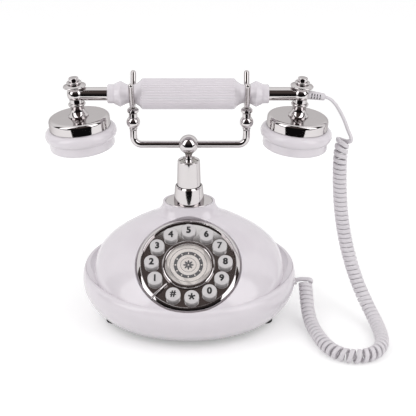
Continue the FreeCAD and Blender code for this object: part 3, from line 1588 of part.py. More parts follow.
def make_cord():
    thick = SIZES["cord_thick"]
    line = [Vector(*p) for p in COIL_LINE]
    coil = curl_edges(line, SIZES["coil_radius"], SIZES["coil_turns"], SIZES["coil_ramp"], thick,
        "curly cord")
    node(shaped("curly_cord", tube_solid(coil, thick / 2)), "curly_cord")
    first, last = coil[0], coil[-1]
    start, start_way = first.valueAt(first.FirstParameter), first.tangentAt(first.FirstParameter)
    end, end_way = last.valueAt(last.LastParameter), last.tangentAt(last.LastParameter)
    boot, boot_way = boot_end(), boot_turn().multVec(UP)
    lead = [boot, boot + boot_way * SIZES["lead_out"]]
    lead += [Vector(*p) for p in HANDSET_LEAD] + [start - start_way * SIZES["lead_in"], start]
    node(shaped("handset_lead", tube_solid(cord_path(lead, "handset lead"), thick / 2)), "handset_lead")
    spot, way = entry_axis()
    lead = [end, end + end_way * SIZES["lead_rise"]]
    lead += [Vector(*p) for p in BASE_LEAD] + [spot + way * SIZES["entry_run"]]
    lead.append(spot + way * SIZES["entry_bush_proud"])
    node(shaped("base_lead", tube_solid(cord_path(lead, "base lead"), thick / 2)), "base_lead")


def check_and_export():
    doc.recompute()
    for obj in doc.Objects:
        if "Invalid" in obj.State or "Error" in obj.State:
            raise RuntimeError(obj.Name + " failed: " + str(obj.State))
    os.makedirs("parts", exist_ok=True)
    for obj in NODES:
        if obj.Shape.isNull() or not obj.Shape.isValid():
            raise RuntimeError(obj.Label + " has no valid shape")
    for obj in NODES:
        obj.Shape.exportStep("parts/" + obj.Label + ".step")
    print(len(NODES), "nodes")


make_base_shell()
make_base_plate()
make_feet()
make_base_screws()
make_dial_bezel()
make_dial_plate()
make_dial_centre()
make_finger_stop()
make_keys()
make_keypad()
make_board_screws()
make_main_board()
make_switch()
make_ringer()
make_line_jack()
make_entry_bush()
make_pedestal()
make_stem()
make_hook_spring()
make_rod()
make_knobs_and_forks()
make_handset_tube()
make_grip()
make_collars()
make_knuckles()
make_boot()
make_finials()
make_caps()
make_cups()
make_cord()
check_and_export()
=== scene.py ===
import bmesh
import bpy
import json
import math
from collections import namedtuple
from mathutils import Matrix, Vector
from mathutils.bvhtree import BVHTree


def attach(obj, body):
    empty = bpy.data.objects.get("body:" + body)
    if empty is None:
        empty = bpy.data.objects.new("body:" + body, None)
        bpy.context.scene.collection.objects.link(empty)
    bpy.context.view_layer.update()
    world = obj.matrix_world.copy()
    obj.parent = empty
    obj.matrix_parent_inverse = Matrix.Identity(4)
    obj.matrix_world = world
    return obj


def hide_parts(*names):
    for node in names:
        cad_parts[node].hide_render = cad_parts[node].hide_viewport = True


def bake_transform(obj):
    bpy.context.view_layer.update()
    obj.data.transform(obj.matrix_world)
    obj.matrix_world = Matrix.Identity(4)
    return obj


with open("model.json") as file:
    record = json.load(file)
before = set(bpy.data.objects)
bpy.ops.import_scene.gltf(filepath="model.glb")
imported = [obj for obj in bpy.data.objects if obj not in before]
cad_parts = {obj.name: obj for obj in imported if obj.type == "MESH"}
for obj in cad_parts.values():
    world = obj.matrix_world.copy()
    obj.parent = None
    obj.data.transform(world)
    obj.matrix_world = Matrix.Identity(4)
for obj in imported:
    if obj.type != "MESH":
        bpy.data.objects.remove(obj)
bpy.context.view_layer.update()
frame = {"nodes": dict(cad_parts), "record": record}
nodes = frame["nodes"]
scene = bpy.context.scene
MM = 0.001


def metres(points):
    return [Vector(p) * MM for p in points]


def share(value):
    """The value, kept between 0 and 1."""
    return min(max(value, 0.0), 1.0)


# Camera, fitted to the photograph

IMAGE = 416
FOCAL_PIXELS = 1200
SENSOR = 36.0
LOOK_DOWN = math.radians(24.7)
CAMERA_PLACE = (16.2, -920.3, 524.5)


def add_camera():
    data = bpy.data.cameras.new("camera")
    data.sensor_width = SENSOR
    data.lens = FOCAL_PIXELS / IMAGE * SENSOR
    camera = bpy.data.objects.new("camera", data)
    camera.location = Vector(CAMERA_PLACE) * MM
    camera.rotation_euler = (math.pi / 2 - LOOK_DOWN, 0, 0)
    scene.collection.objects.link(camera)
    scene.camera = camera


add_camera()
scene.view_settings.view_transform = "Standard"


# Materials

NOISE_DETAIL = 4.0
NOISE_ROUGHNESS = 0.55
DRIFT_LOW, DRIFT_HIGH = 0.3, 0.7
GRAIN_FINENESS = 12
GRAIN_DETAIL = 3.0
GRAIN_DEPTH = 0.0002


class Nodes:
    """Short ways to add and join shader nodes in one tree."""

    def __init__(self, tree):
        self.tree = tree

    def add(self, kind, **values):
        made = self.tree.nodes.new(kind)
        for name, value in values.items():
            if name in made.bl_rna.properties:
                setattr(made, name, value)
            else:
                made.inputs[name.replace("_", " ")].default_value = value
        return made

    def link(self, source, target):
        self.tree.links.new(source, target)


def material(name, color, metallic=0.0, rough=0.3, scale=60.0, rough_spread=0.06, tint=0.03, bump=0.0,
             **extra):
    """Principled material whose colour and roughness drift with noise, with a fine bump."""
    made = bpy.data.materials.new(name)
    made.use_nodes = True
    n = Nodes(made.node_tree)
    shader = made.node_tree.nodes["Principled BSDF"]
    shader.inputs["Metallic"].default_value = metallic
    for key, value in extra.items():
        shader.inputs[key.replace("_", " ")].default_value = value
    coords = n.add("ShaderNodeTexCoord")
    noise = n.add("ShaderNodeTexNoise", Scale=scale, Detail=NOISE_DETAIL, Roughness=NOISE_ROUGHNESS)
    n.link(coords.outputs["Object"], noise.inputs["Vector"])
    smoothest = max(rough - rough_spread, 0.0)
    rough_map = n.add("ShaderNodeMapRange", To_Min=smoothest, To_Max=rough + rough_spread)
    n.link(noise.outputs["Fac"], rough_map.inputs["Value"])
    n.link(rough_map.outputs["Result"], shader.inputs["Roughness"])
    ramp = n.add("ShaderNodeValToRGB")
    low = [c * (1 - tint) for c in color]
    ramp.color_ramp.elements[0].position = DRIFT_LOW
    ramp.color_ramp.elements[0].color = (*low, 1)
    ramp.color_ramp.elements[1].position = DRIFT_HIGH
    ramp.color_ramp.elements[1].color = (*color, 1)
    n.link(noise.outputs["Fac"], ramp.inputs["Fac"])
    n.link(ramp.outputs["Color"], shader.inputs["Base Color"])
    if bump:
        fine = n.add("ShaderNodeTexNoise", Scale=scale * GRAIN_FINENESS, Detail=GRAIN_DETAIL)
        n.link(coords.outputs["Object"], fine.inputs["Vector"])
        bumped = n.add("ShaderNodeBump", Strength=bump, Distance=GRAIN_DEPTH)
        n.link(fine.outputs["Fac"], bumped.inputs["Height"])
        n.link(bumped.outputs["Normal"], shader.inputs["Normal"])
    return made


WHITE = material("white_plastic", (0.755, 0.715, 0.755), rough=0.14, rough_spread=0.03, bump=0.03,
                 Coat_Weight=0.3, Coat_Roughness=0.05)
CHROME = material("chrome", (0.66, 0.63, 0.632), metallic=1.0, rough=0.04, rough_spread=0.012, tint=0.02,
                  Specular_Tint=(0.55, 0.535, 0.535, 1))
MIRROR = material("mirror_face", (0.64, 0.62, 0.62), metallic=1.0, rough=0.05, rough_spread=0.02, tint=0.03)
KEY = material("key_plastic", (0.61, 0.59, 0.595), rough=0.2, rough_spread=0.04, bump=0.02)
CARD = material("label_card", (0.79, 0.735, 0.705), rough=0.5, scale=400, bump=0.1)
RUBBER = material("black_rubber", (0.012, 0.012, 0.013), rough=0.6, scale=500, bump=0.3)
GREY_RUBBER = material("grey_rubber", (0.18, 0.18, 0.185), rough=0.6, scale=500, bump=0.2)
BOARD = material("circuit_board", (0.02, 0.09, 0.035), rough=0.35, scale=300, tint=0.2)
STEEL = material("steel", (0.42, 0.42, 0.43), metallic=1.0, rough=0.28, scale=400)
ALUMINIUM = material("aluminium", (0.6, 0.6, 0.61), metallic=1.0, rough=0.3, scale=400)
DARK = material("dark_plastic", (0.018, 0.018, 0.02), rough=0.5, scale=900, bump=0.3)
NATURAL = material("natural_plastic", (0.6, 0.58, 0.54), rough=0.35, scale=300)
VINYL = material("cord_vinyl", (0.72, 0.69, 0.72), rough=0.36, scale=200, bump=0.05)
INK = material("ink", (0.016, 0.016, 0.018), rough=0.42, scale=700, tint=0.15)
SLATE = material("slate_print", (0.052, 0.051, 0.057), rough=0.45, scale=700, tint=0.12)
LENS = material("clear_lens", (0.9, 0.9, 0.9), rough=0.04, rough_spread=0.02, tint=0.02, Alpha=0.1)

SLOT_MATERIALS = {
    "white_plastic": WHITE, "chrome": CHROME, "mirror_face": MIRROR, "key_plastic": KEY,
    "label_card": CARD, "clear_lens": LENS, "black_rubber": RUBBER, "grey_rubber": GREY_RUBBER,
    "circuit_board": BOARD, "steel": STEEL, "aluminium": ALUMINIUM, "dark_plastic": DARK,
    "natural_plastic": NATURAL, "cord_vinyl": VINYL,
}
for row in frame["record"]["subparts"]:
    for place in nodes[row["node"]].material_slots:
        place.material = SLOT_MATERIALS[row["material_slot"]]


# Handset cord: control points of its route in millimetres, close to the part's own route

BOOT_LEAD = [
    (112.29, 14.0, 195.23), (116.3, 14.0, 194.2), (121.2, 14.0, 189.2), (126.0, 14.0, 181.6),
    (129.8, 14.0, 173.6), (133.0, 13.4, 165.2), (135.5, 11.6, 160.4), (135.2, 10.4, 157.2),
]
COIL_LINE = [
    (129.2, 14.0, 158.6), (127.8, 14.0, 150.0), (127.2, 14.0, 139.0), (127.9, 14.0, 118.0),
    (129.4, 13.6, 99.0), (131.8, 12.3, 81.5), (135.4, 9.6, 63.5), (140.4, 4.4, 45.5),
    (146.8, -3.6, 28.6), (153.6, -13.5, 15.8), (159.2, -27.5, 8.2), (161.8, -45.0, 6.2),
    (161.0, -64.5, 6.2), (152.4, -78.4, 6.2), (138.0, -83.8, 6.2), (123.4, -79.2, 6.2),
    (113.8, -66.0, 6.2), (108.4, -49.0, 6.2), (104.4, -32.0, 6.8), (102.6, -20.0, 10.2),
    (101.6, -8.8, 18.0), (101.0, 2.4, 28.9),
]
BASE_LEAD = [
    (106.9, 1.0, 31.2), (104.6, 0.6, 32.7), (100.4, 2.2, 32.1), (96.2, 3.6, 31.55), (92.83, 3.6, 30.38),
]
WIRE_HALF_WIDTH = 1.87 * MM
WIRE_HALF_THICK = 1.25 * MM
COIL_RADIUS = 4.75 * MM
CLOSE_PITCH = 3.76 * MM
HANG_PITCH = 0.34 * MM
HANG_HEIGHT = 80.0 * MM
OPEN_PITCH = 5.3 * MM
OPEN_LENGTH = 42.0 * MM
OPEN_POWER = 1.5
LEAST_INSIDE = 0.5
LOOP_FRONT = -0.02
LOOP_PITCH = 0.75 * MM
END_LENGTH = 16.0 * MM
PITCH_SPREAD = 30
RAMP = 0.6 * MM
TOP_TILT = 0.53
TOP_LEAN = math.radians(45)
TILT_LENGTH = 24.0 * MM
POINTS_PER_TURN = 22
COIL_STEPS = 60
LEAD_STEPS = 12
TUBE_SIDES = 16
SECTION_POWER = 0.55
CUT_HEIGHT = 80.0 * MM
SMALLEST_STEP = 1e-9

Station = namedtuple("Station", "along spot way side bend")


def spline_line(points, steps):
    """Points along a smooth spline that has these as its control points."""
    curve = bpy.data.curves.new("route", "CURVE")
    curve.dimensions = "3D"
    curve.resolution_u = steps
    spline = curve.splines.new("NURBS")
    spline.points.add(len(points) - 1)
    for point, spot in zip(spline.points, points):
        point.co = (*spot, 1)
    spline.order_u = 3
    spline.use_endpoint_u = True
    route = bpy.data.objects.new("route", curve)
    scene.collection.objects.link(route)
    bpy.context.view_layer.update()
    mesh = bpy.data.meshes.new_from_object(route)
    line = [v.co.copy() for v in mesh.vertices]
    bpy.data.objects.remove(route)
    bpy.data.curves.remove(curve)
    bpy.data.meshes.remove(mesh)
    return line


def stations_along(line):
    """Distance, place, direction, a side that doesn't twist, and bend at each point of a line."""
    found = []
    along = 0.0
    side = Vector((1, 0, 0))
    last = len(line) - 1
    for i, spot in enumerate(line):
        before, after = line[max(i - 1, 0)], line[min(i + 1, last)]
        way = (after - before).normalized()
        side = (side - way * side.dot(way)).normalized()
        along += (spot - before).length
        bend = 0.0
        if 0 < i < last:
            turn = (spot - before).normalized().angle((after - spot).normalized(), 0.0)
            bend = turn / ((after - before).length / 2)
        found.append(Station(along, spot, way, side, bend))
    return found


def curl_pitches(stations):
    """Pitch at each station: close, and wider where the coil hangs, at its top, in bends and in the loop."""
    length = stations[-1].along
    pitches = []
    for s in stations:
        pitch = CLOSE_PITCH + HANG_PITCH * share(s.spot.z / HANG_HEIGHT)
        pitch += (OPEN_PITCH - pitch) * share(1 - s.along / OPEN_LENGTH) ** OPEN_POWER
        pitch = pitch / max(1 - (COIL_RADIUS + WIRE_HALF_THICK) * s.bend, LEAST_INSIDE)
        loop = share((LOOP_FRONT - s.spot.y) / -LOOP_FRONT)
        pitch += LOOP_PITCH * loop * share(1 + 2 * s.way.y)
        pitches.append(CLOSE_PITCH + (pitch - CLOSE_PITCH) * share((length - s.along) / END_LENGTH))
    return pitches


def curl_turns(stations):
    """Turns made up to each station, so that the wire ends at the right of the coil."""
    length = stations[-1].along
    pitches = curl_pitches(stations)
    rates = []
    for i, s in enumerate(stations):
        near = pitches[max(i - PITCH_SPREAD, 0):i + PITCH_SPREAD + 1]
        rates.append(min(s.along, length - s.along, RAMP) / RAMP * len(near) / sum(near))
    turns = [0.0]
    for i in range(1, len(stations)):
        step = stations[i].along - stations[i - 1].along
        turns.append(turns[-1] + step * (rates[i] + rates[i - 1]) / 2)
    end = stations[-1]
    end_turn = math.atan2(end.side.cross(end.way).x, end.side.x) / (2 * math.pi) % 1
    whole = math.floor(turns[-1] - end_turn) + end_turn
    return [t * whole / turns[-1] for t in turns]


def curls(line):
    """Helix round a line, as points of the wire with their outward ways."""
    stations = stations_along(line)
    turns = curl_turns(stations)
    count = int(turns[-1] * POINTS_PER_TURN)
    points = []
    i = 0
    for k in range(count + 1):
        wanted = turns[-1] * k / count
        while i < len(turns) - 2 and turns[i + 1] < wanted:
            i += 1
        mix = (wanted - turns[i]) / max(turns[i + 1] - turns[i], SMALLEST_STEP)
        a, b = stations[i], stations[i + 1]
        spot = a.spot.lerp(b.spot, mix)
        way = a.way.lerp(b.way, mix).normalized()
        side = a.side.lerp(b.side, mix).normalized()
        angle = 2 * math.pi * wanted
        out = side * math.cos(angle) + side.cross(way) * math.sin(angle)
        leant = share(1 - (a.along + (b.along - a.along) * mix) / TILT_LENGTH)
        tilt = TOP_TILT * leant * math.cos(angle - TOP_LEAN)
        points.append((spot + (out + way * tilt) * COIL_RADIUS, out))
    return points


def flat_frames(line, outs):
    """Direction and flat side at each point: across its outward way, or carried on where it has none."""
    last = len(line) - 1
    ways = [(line[min(i + 1, last)] - line[max(i - 1, 0)]).normalized() for i in range(last + 1)]
    wides = [None] * (last + 1)
    for i, out in enumerate(outs):
        if out is not None:
            wides[i] = ways[i].cross(out).normalized()
    known = [i for i in range(last + 1) if wides[i] is not None]
    for order in (range(known[0] - 1, -1, -1), range(known[-1] + 1, last + 1)):
        for i in order:
            carried = wides[i + 1] if i < known[0] else wides[i - 1]
            wides[i] = (carried - ways[i] * carried.dot(ways[i])).normalized()
    return list(zip(line, ways, wides))


def link_mesh(name, bm, materials):
    """Object in the scene with this mesh and these materials."""
    mesh = bpy.data.meshes.new(name)
    bm.to_mesh(mesh)
    bm.free()
    for mat in materials:
        mesh.materials.append(mat)
    made = bpy.data.objects.new(name, mesh)
    scene.collection.objects.link(made)
    return made


def flat_tube(name, frames):
    """Closed tube of flat, rounded section along points with their directions and flat sides."""
    bm = bmesh.new()
    rings = []
    for spot, way, wide in frames:
        thin = way.cross(wide)
        ring = []
        for k in range(TUBE_SIDES):
            angle = 2 * math.pi * (k + 0.5) / TUBE_SIDES
            c, s = math.cos(angle), math.sin(angle)
            across = math.copysign(abs(c) ** SECTION_POWER, c) * WIRE_HALF_WIDTH
            up = math.copysign(abs(s) ** SECTION_POWER, s) * WIRE_HALF_THICK
            ring.append(bm.verts.new(spot + wide * across + thin * up))
        rings.append(ring)
    for a, b in zip(rings, rings[1:]):
        for k in range(TUBE_SIDES):
            j = (k + 1) % TUBE_SIDES
            bm.faces.new((a[k], a[j], b[j], b[k])).smooth = True
    bm.faces.new(list(reversed(rings[0])))
    bm.faces.new(rings[-1])
    bmesh.ops.recalc_face_normals(bm, faces=bm.faces[:])
    return link_mesh(name, bm, [VINYL])


def handset_cord():
    """Two pieces that meet at the rear of a curl."""
    coil = curls(spline_line(metres(COIL_LINE), COIL_STEPS))
    top_lead = spline_line(metres(BOOT_LEAD) + [coil[0][0]], LEAD_STEPS)
    low_lead = spline_line([coil[-1][0]] + metres(BASE_LEAD), LEAD_STEPS)
    line = top_lead[:-1] + [p for p, out in coil] + low_lead[1:]
    outs = [None] * (len(top_lead) - 1) + [out for p, out in coil] + [None] * (len(low_lead) - 1)
    wire = flat_frames(line, outs)
    cut = next(i for i, p in enumerate(line) if p.z < CUT_HEIGHT)
    while line[cut].y < line[cut + 1].y or line[cut].y < line[cut - 1].y:
        cut += 1
    upper_cord = flat_tube("cord_upper", wire[:cut + 1])
    lower_cord = flat_tube("cord_lower", wire[cut:])
    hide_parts("curly_cord", "handset_lead")
    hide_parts("base_lead")
    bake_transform(upper_cord)
    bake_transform(lower_cord)


handset_cord()


# Digits on the keys, laid out on the dial in millimetres

DIAL_SEAT = Vector((0.0, -37.1, 65.5))
DIAL_TILT = math.radians(36.5)
DIAL_UP = Vector((0, math.cos(DIAL_TILT), math.sin(DIAL_TILT)))
DIAL_OUT = Vector((0, -math.sin(DIAL_TILT), math.cos(DIAL_TILT)))
KEY_CIRCLE = 30.6
KEY_FIRST = -116.5
KEY_STEP = 29.1
KEYS = ["1", "2", "3", "4", "5", "6", "7", "8", "9", "0", "star", "hash"]
SIGNS = {"star": "*", "hash": "#"}
TURNED = {"6": "9"}
DIGIT_HEIGHT = 6.2
SIGN_HEIGHT = 5.9
DIGIT_WEIGHT = 0.054
GLYPH_STEPS = 8
GLYPH_MERGE = 1e-5
STAR_ARMS = 5
STAR_HALF_WIDTH = 0.23
FINE_CUTS = (0.3, 0.2, 0.12)
PRINT_LIFT = 0.03
OVER_KEYS = 30


def on_dial(x, y, height):
    """Point of the dial, to the right of and up from its middle and over its seat."""
    return (DIAL_SEAT + Vector((x, 0, 0)) + DIAL_UP * y + DIAL_OUT * height) * MM


def add_piece(name, bm, materials, body):
    """Piece of the object that rides on a body."""
    made = link_mesh(name, bm, materials)
    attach(made, body)
    return made


def face_outwards(bm):
    """Turn the faces of a print away from the dial."""
    for face in bm.faces:
        face.normal_update()
        if face.normal.dot(DIAL_OUT) < 0:
            face.normal_flip()


def cut_finely(bm):
    """Split long edges, so that a flat sign can follow a curved face."""
    for size in FINE_CUTS:
        bmesh.ops.triangulate(bm, faces=bm.faces[:])
        long_edges = [e for e in bm.edges if e.calc_length() > size]
        bmesh.ops.subdivide_edges(bm, edges=long_edges, cuts=1)
    bmesh.ops.triangulate(bm, faces=bm.faces[:])
    return bm


def embolden(bm):
    """Push a flat sign's outline outwards."""
    moves = {}
    for edge in bm.edges:
        if edge.is_boundary:
            away = (edge.verts[0].co + edge.verts[1].co) / 2 - edge.link_faces[0].calc_center_median()
            along = (edge.verts[1].co - edge.verts[0].co).normalized()
            for v in edge.verts:
                moves.setdefault(v, []).append((away - along * away.dot(along)).normalized())
    for v, ways in moves.items():
        v.co += sum(ways, Vector()).normalized() * DIGIT_WEIGHT
    return bm


def glyph(text):
    """Flat mesh of one sign."""
    curve = bpy.data.curves.new("glyph", "FONT")
    curve.body = text
    curve.resolution_u = GLYPH_STEPS
    holder = bpy.data.objects.new("glyph", curve)
    scene.collection.objects.link(holder)
    bpy.context.view_layer.update()
    mesh = bpy.data.meshes.new_from_object(holder)
    bm = bmesh.new()
    bm.from_mesh(mesh)
    bpy.data.objects.remove(holder)
    bpy.data.curves.remove(curve)
    bpy.data.meshes.remove(mesh)
    bmesh.ops.remove_doubles(bm, verts=bm.verts[:], dist=GLYPH_MERGE)
    return cut_finely(embolden(bm))


def star_glyph():
    """Flat mesh of a five-armed star."""
    bm = bmesh.new()
    corners = []
    for k in range(STAR_ARMS):
        a = 2 * math.pi * k / STAR_ARMS
        along = Vector((math.sin(a), math.cos(a), 0))
        across = Vector((math.cos(a), -math.sin(a), 0))
        b = a + math.pi / STAR_ARMS
        notch = Vector((math.sin(b), math.cos(b), 0)) * STAR_HALF_WIDTH / math.sin(math.pi / STAR_ARMS)
        corners += [along - across * STAR_HALF_WIDTH, along + across * STAR_HALF_WIDTH, notch]
    bm.faces.new([bm.verts.new(c) for c in corners])
    return cut_finely(bm)


def print_key(i, key):
    """Lay a key's sign on its domed top; the six is the nine turned round."""
    bm = star_glyph() if key == "star" else glyph(TURNED.get(key, SIGNS.get(key, key)))
    if key in TURNED:
        bmesh.ops.rotate(bm, verts=bm.verts[:], matrix=Matrix.Rotation(math.pi, 3, "Z"))
    xs, ys = [v.co.x for v in bm.verts], [v.co.y for v in bm.verts]
    middle = ((min(xs) + max(xs)) / 2, (min(ys) + max(ys)) / 2)
    height = SIGN_HEIGHT if key in SIGNS else DIGIT_HEIGHT
    size = height / (max(ys) - min(ys))
    angle = math.radians(KEY_FIRST + KEY_STEP * i)
    x0, y0 = KEY_CIRCLE * math.sin(angle), KEY_CIRCLE * math.cos(angle)
    top = BVHTree.FromObject(nodes["key_" + key], bpy.context.evaluated_depsgraph_get())
    for v in bm.verts:
        x, y = x0 + (v.co.x - middle[0]) * size, y0 + (v.co.y - middle[1]) * size
        hit = top.ray_cast(on_dial(x, y, OVER_KEYS), -DIAL_OUT)[0]
        v.co = hit + DIAL_OUT * PRINT_LIFT * MM
    face_outwards(bm)
    for face in bm.faces:
        face.smooth = True
    add_piece("digit_" + key, bm, [INK], "button_" + key)


for i, key in enumerate(KEYS):
    print_key(i, key)


# Design on the card in the dial's middle, in millimetres

CARD_HEIGHT = 1.8
BAND_INNER, BAND_OUTER = 9.4, 12.2
LINE_INNER, LINE_OUTER = 15.3, 15.65
HEART_INNER, HEART_OUTER = 6.3, 6.6
DIAMONDS = 12
DIAMOND_LONG, DIAMOND_WIDE = 1.0, 0.62
DIAMOND_STEPS = 2
PETALS = 8
PETAL_START, PETAL_END = 0.6, 4.4
PETAL_WIDTH = 0.85
PETAL_STEPS = 8
ROUND_STEPS = 96
SLATE_INDEX, CARD_INDEX = 0, 1


def print_ring(bm, inner, outer):
    """Slate ring on the card."""
    rows = []
    for k in range(ROUND_STEPS):
        a = 2 * math.pi * k / ROUND_STEPS
        spots = [on_dial(r * math.sin(a), r * math.cos(a), CARD_HEIGHT + PRINT_LIFT) for r in (inner, outer)]
        rows.append([bm.verts.new(spot) for spot in spots])
    for k in range(ROUND_STEPS):
        a, b = rows[k], rows[(k + 1) % ROUND_STEPS]
        bm.faces.new((a[0], b[0], b[1], a[1])).material_index = SLATE_INDEX


def print_spray(bm, count, near, far, wide, steps, height, index):
    """Leaves set round the card's middle, of a few straight sides or nearly round."""
    for k in range(count):
        a = 2 * math.pi * k / count
        corners = []
        for j in range(2 * steps):
            t = math.pi * j / steps
            r = (near + far) / 2 + (far - near) / 2 * math.cos(t)
            w = wide * math.sin(t)
            x, y = r * math.sin(a) + w * math.cos(a), r * math.cos(a) - w * math.sin(a)
            corners.append(on_dial(x, y, height))
        bm.faces.new([bm.verts.new(c) for c in corners]).material_index = index


def card_design():
    """Slate band with pale diamonds, two fine lines and a small rosette."""
    bm = bmesh.new()
    print_ring(bm, BAND_INNER, BAND_OUTER)
    print_ring(bm, LINE_INNER, LINE_OUTER)
    print_ring(bm, HEART_INNER, HEART_OUTER)
    band_middle = (BAND_INNER + BAND_OUTER) / 2
    print_spray(bm, DIAMONDS, band_middle - DIAMOND_LONG, band_middle + DIAMOND_LONG, DIAMOND_WIDE,
                DIAMOND_STEPS, CARD_HEIGHT + 2 * PRINT_LIFT, CARD_INDEX)
    print_spray(bm, PETALS, PETAL_START, PETAL_END, PETAL_WIDTH, PETAL_STEPS, CARD_HEIGHT + PRINT_LIFT,
                SLATE_INDEX)
    face_outwards(bm)
    add_piece("label_design", bm, [SLATE, CARD], "base")


card_design()


# Finger stop: a rounded blade from over the bezel's rim towards the hub, by reach, height and half width

STOP_ANGLE = math.radians(-135.5)
STOP_LINE = [
    (24.6, 3.2, 0.25), (25.4, 3.5, 0.6), (28.0, 3.8, 0.75), (33.0, 4.0, 0.9), (38.6, 4.05, 1.05),
    (40.4, 3.95, 1.1), (42.0, 3.2, 1.15), (43.2, 2.0, 1.1), (43.7, 1.1, 0.9),
]
STOP_THICK = 0.95
STOP_ROUND = 10


def finger_stop():
    """Blade with a rounded back and a flat underside."""
    bm = bmesh.new()
    along = Vector((math.sin(STOP_ANGLE), math.cos(STOP_ANGLE)))
    across = Vector((-along.y, along.x))
    rows = []
    for reach, height, half in STOP_LINE:
        row = []
        for k in range(STOP_ROUND + 1):
            a = math.pi * k / STOP_ROUND
            spot = along * reach + across * half * math.cos(a)
            row.append(bm.verts.new(on_dial(spot.x, spot.y, height + STOP_THICK * math.sin(a))))
        rows.append(row)
    for a, b in zip(rows, rows[1:]):
        for k in range(STOP_ROUND):
            bm.faces.new((a[k], a[k + 1], b[k + 1], b[k])).smooth = True
        bm.faces.new((a[0], b[0], b[-1], a[-1]))
    bm.faces.new(rows[0])
    bm.faces.new(rows[-1])
    bmesh.ops.recalc_face_normals(bm, faces=bm.faces[:])
    made = add_piece("finger_stop_blade", bm, [CHROME], "base")
    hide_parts("finger_stop")


finger_stop()


# Painted shade in the slits of the cord's boot, in millimetres

BOOT_SLOPE = math.radians(8.0)
BOOT_LENGTH = 14.0
SLIT_PITCH = BOOT_LENGTH / 6
SLIT_ROWS = 4
SLIT_SIZE = (0.8, 0.3, 1.7)
SLIT_MIDDLE = 0.48
SLIT_OUT = 2.0
SLIT_UP = 1.35
SLIT_ROUND = 0.08


def boot_slits():
    """Painted shade: dark boxes that stand for the shadowed floors of the slits, in two rows at the front
    and two at the back.
    """
    bm = bmesh.new()
    turn = Matrix.Rotation(BOOT_SLOPE, 4, "Y")
    size = Matrix.Diagonal((*SLIT_SIZE, 1))
    for face, shift in ((-1, 0.0), (1, 0.5)):
        for row in range(SLIT_ROWS):
            back = SLIT_PITCH * (row + shift - SLIT_ROWS - 1) + SLIT_MIDDLE
            for side in (-1, 1):
                spot = Vector(BOOT_LEAD[0]) + turn @ Vector((back, face * SLIT_OUT, side * SLIT_UP))
                bmesh.ops.create_cube(bm, size=MM, matrix=Matrix.Translation(spot * MM) @ turn @ size)
    bmesh.ops.bevel(bm, geom=bm.edges[:], offset=SLIT_ROUND * MM, segments=2, affect="EDGES")
    # The dark boxes are painted shade, not parts of the boot.
    add_piece("boot_slits", bm, [DARK], "handset")


boot_slits()


# Studio: white floor that ends in front of the object, dark room behind the camera, two lamps at its sides

FLOOR_COLOR = (0.86, 0.86, 0.86, 1)
FLOOR_ROUGHNESS = 0.9
FLOOR_GLOW = 0.3
FLOOR_FRONT = -0.385
FLOOR_REACH = 6.0
WORLD_LIGHT = 0.75
BACK_GLOW = 0.95
TOP_GLOW = 1.0
GLOW_RISE = 0.3
CRADLE_MIDDLE = Vector((0, 0.014, 0.153))
ROOM_RADIUS = 2.6
ROOM_LOW, ROOM_HIGH = -40, 80
ROOM_ROWS, ROOM_COLUMNS = 24, 36
ROOM_EDGE, ROOM_EDGE_SLOPE = 0.2, 0.35
LEAST_COSINE = 0.05
ROOM_BLACK, ROOM_BROWN = (0.0065, 0.006, 0.0065, 1), (0.085, 0.068, 0.064, 1)
BLACK_HEIGHT, BROWN_HEIGHT = 0.5, 1.9
LAMP_COLOR = (1.0, 0.985, 0.99)
LAMP_STRENGTH = 2.2
LAMP_DISTANCE = 1.4
LAMP_CORNERS = [(23, 67), (72, 49), (75, 4), (46, 2)]


def stage_mesh(name, verts, faces, mat):
    """Mesh that belongs to the studio and not to the object."""
    mesh = bpy.data.meshes.new(name)
    mesh.from_pydata([tuple(v) for v in verts], [], faces)
    mesh.materials.append(mat)
    made = bpy.data.objects.new(name, mesh)
    scene.collection.objects.link(made)
    return made


def glow(name, color, strength):
    """Material that shines and reflects nothing."""
    made = bpy.data.materials.new(name)
    made.use_nodes = True
    tree = made.node_tree
    tree.nodes.remove(tree.nodes["Principled BSDF"])
    light = tree.nodes.new("ShaderNodeEmission")
    light.inputs["Color"].default_value = (*color, 1)
    light.inputs["Strength"].default_value = strength
    tree.links.new(light.outputs["Emission"], tree.nodes["Material Output"].inputs["Surface"])
    return made


def seen_by_eye(n):
    """1 for rays from the camera, and for those that metal and glass send on."""
    path = n.add("ShaderNodeLightPath")
    either = n.add("ShaderNodeMath", operation="MAXIMUM")
    n.link(path.outputs["Is Camera Ray"], either.inputs[0])
    n.link(path.outputs["Is Glossy Ray"], either.inputs[1])
    any_of = n.add("ShaderNodeMath", operation="MAXIMUM")
    n.link(either.outputs[0], any_of.inputs[0])
    n.link(path.outputs["Is Transmission Ray"], any_of.inputs[1])
    return any_of.outputs[0]


def floor_material():
    """Matt white that shines a little to the eye."""
    made = bpy.data.materials.new("floor")
    made.use_nodes = True
    n = Nodes(made.node_tree)
    shader = made.node_tree.nodes["Principled BSDF"]
    shader.inputs["Base Color"].default_value = FLOOR_COLOR
    shader.inputs["Roughness"].default_value = FLOOR_ROUGHNESS
    shader.inputs["Specular IOR Level"].default_value = 0.0
    shader.inputs["Emission Color"].default_value = (1, 1, 1, 1)
    strength = n.add("ShaderNodeMath", operation="MULTIPLY")
    strength.inputs[1].default_value = FLOOR_GLOW
    n.link(seen_by_eye(n), strength.inputs[0])
    n.link(strength.outputs[0], shader.inputs["Emission Strength"])
    return made


def studio_floor():
    corners = [
        (-FLOOR_REACH, FLOOR_FRONT, 0), (FLOOR_REACH, FLOOR_FRONT, 0),
        (FLOOR_REACH, FLOOR_REACH, 0), (-FLOOR_REACH, FLOOR_REACH, 0),
    ]
    stage_mesh("floor", corners, [(0, 1, 2, 3)], floor_material())


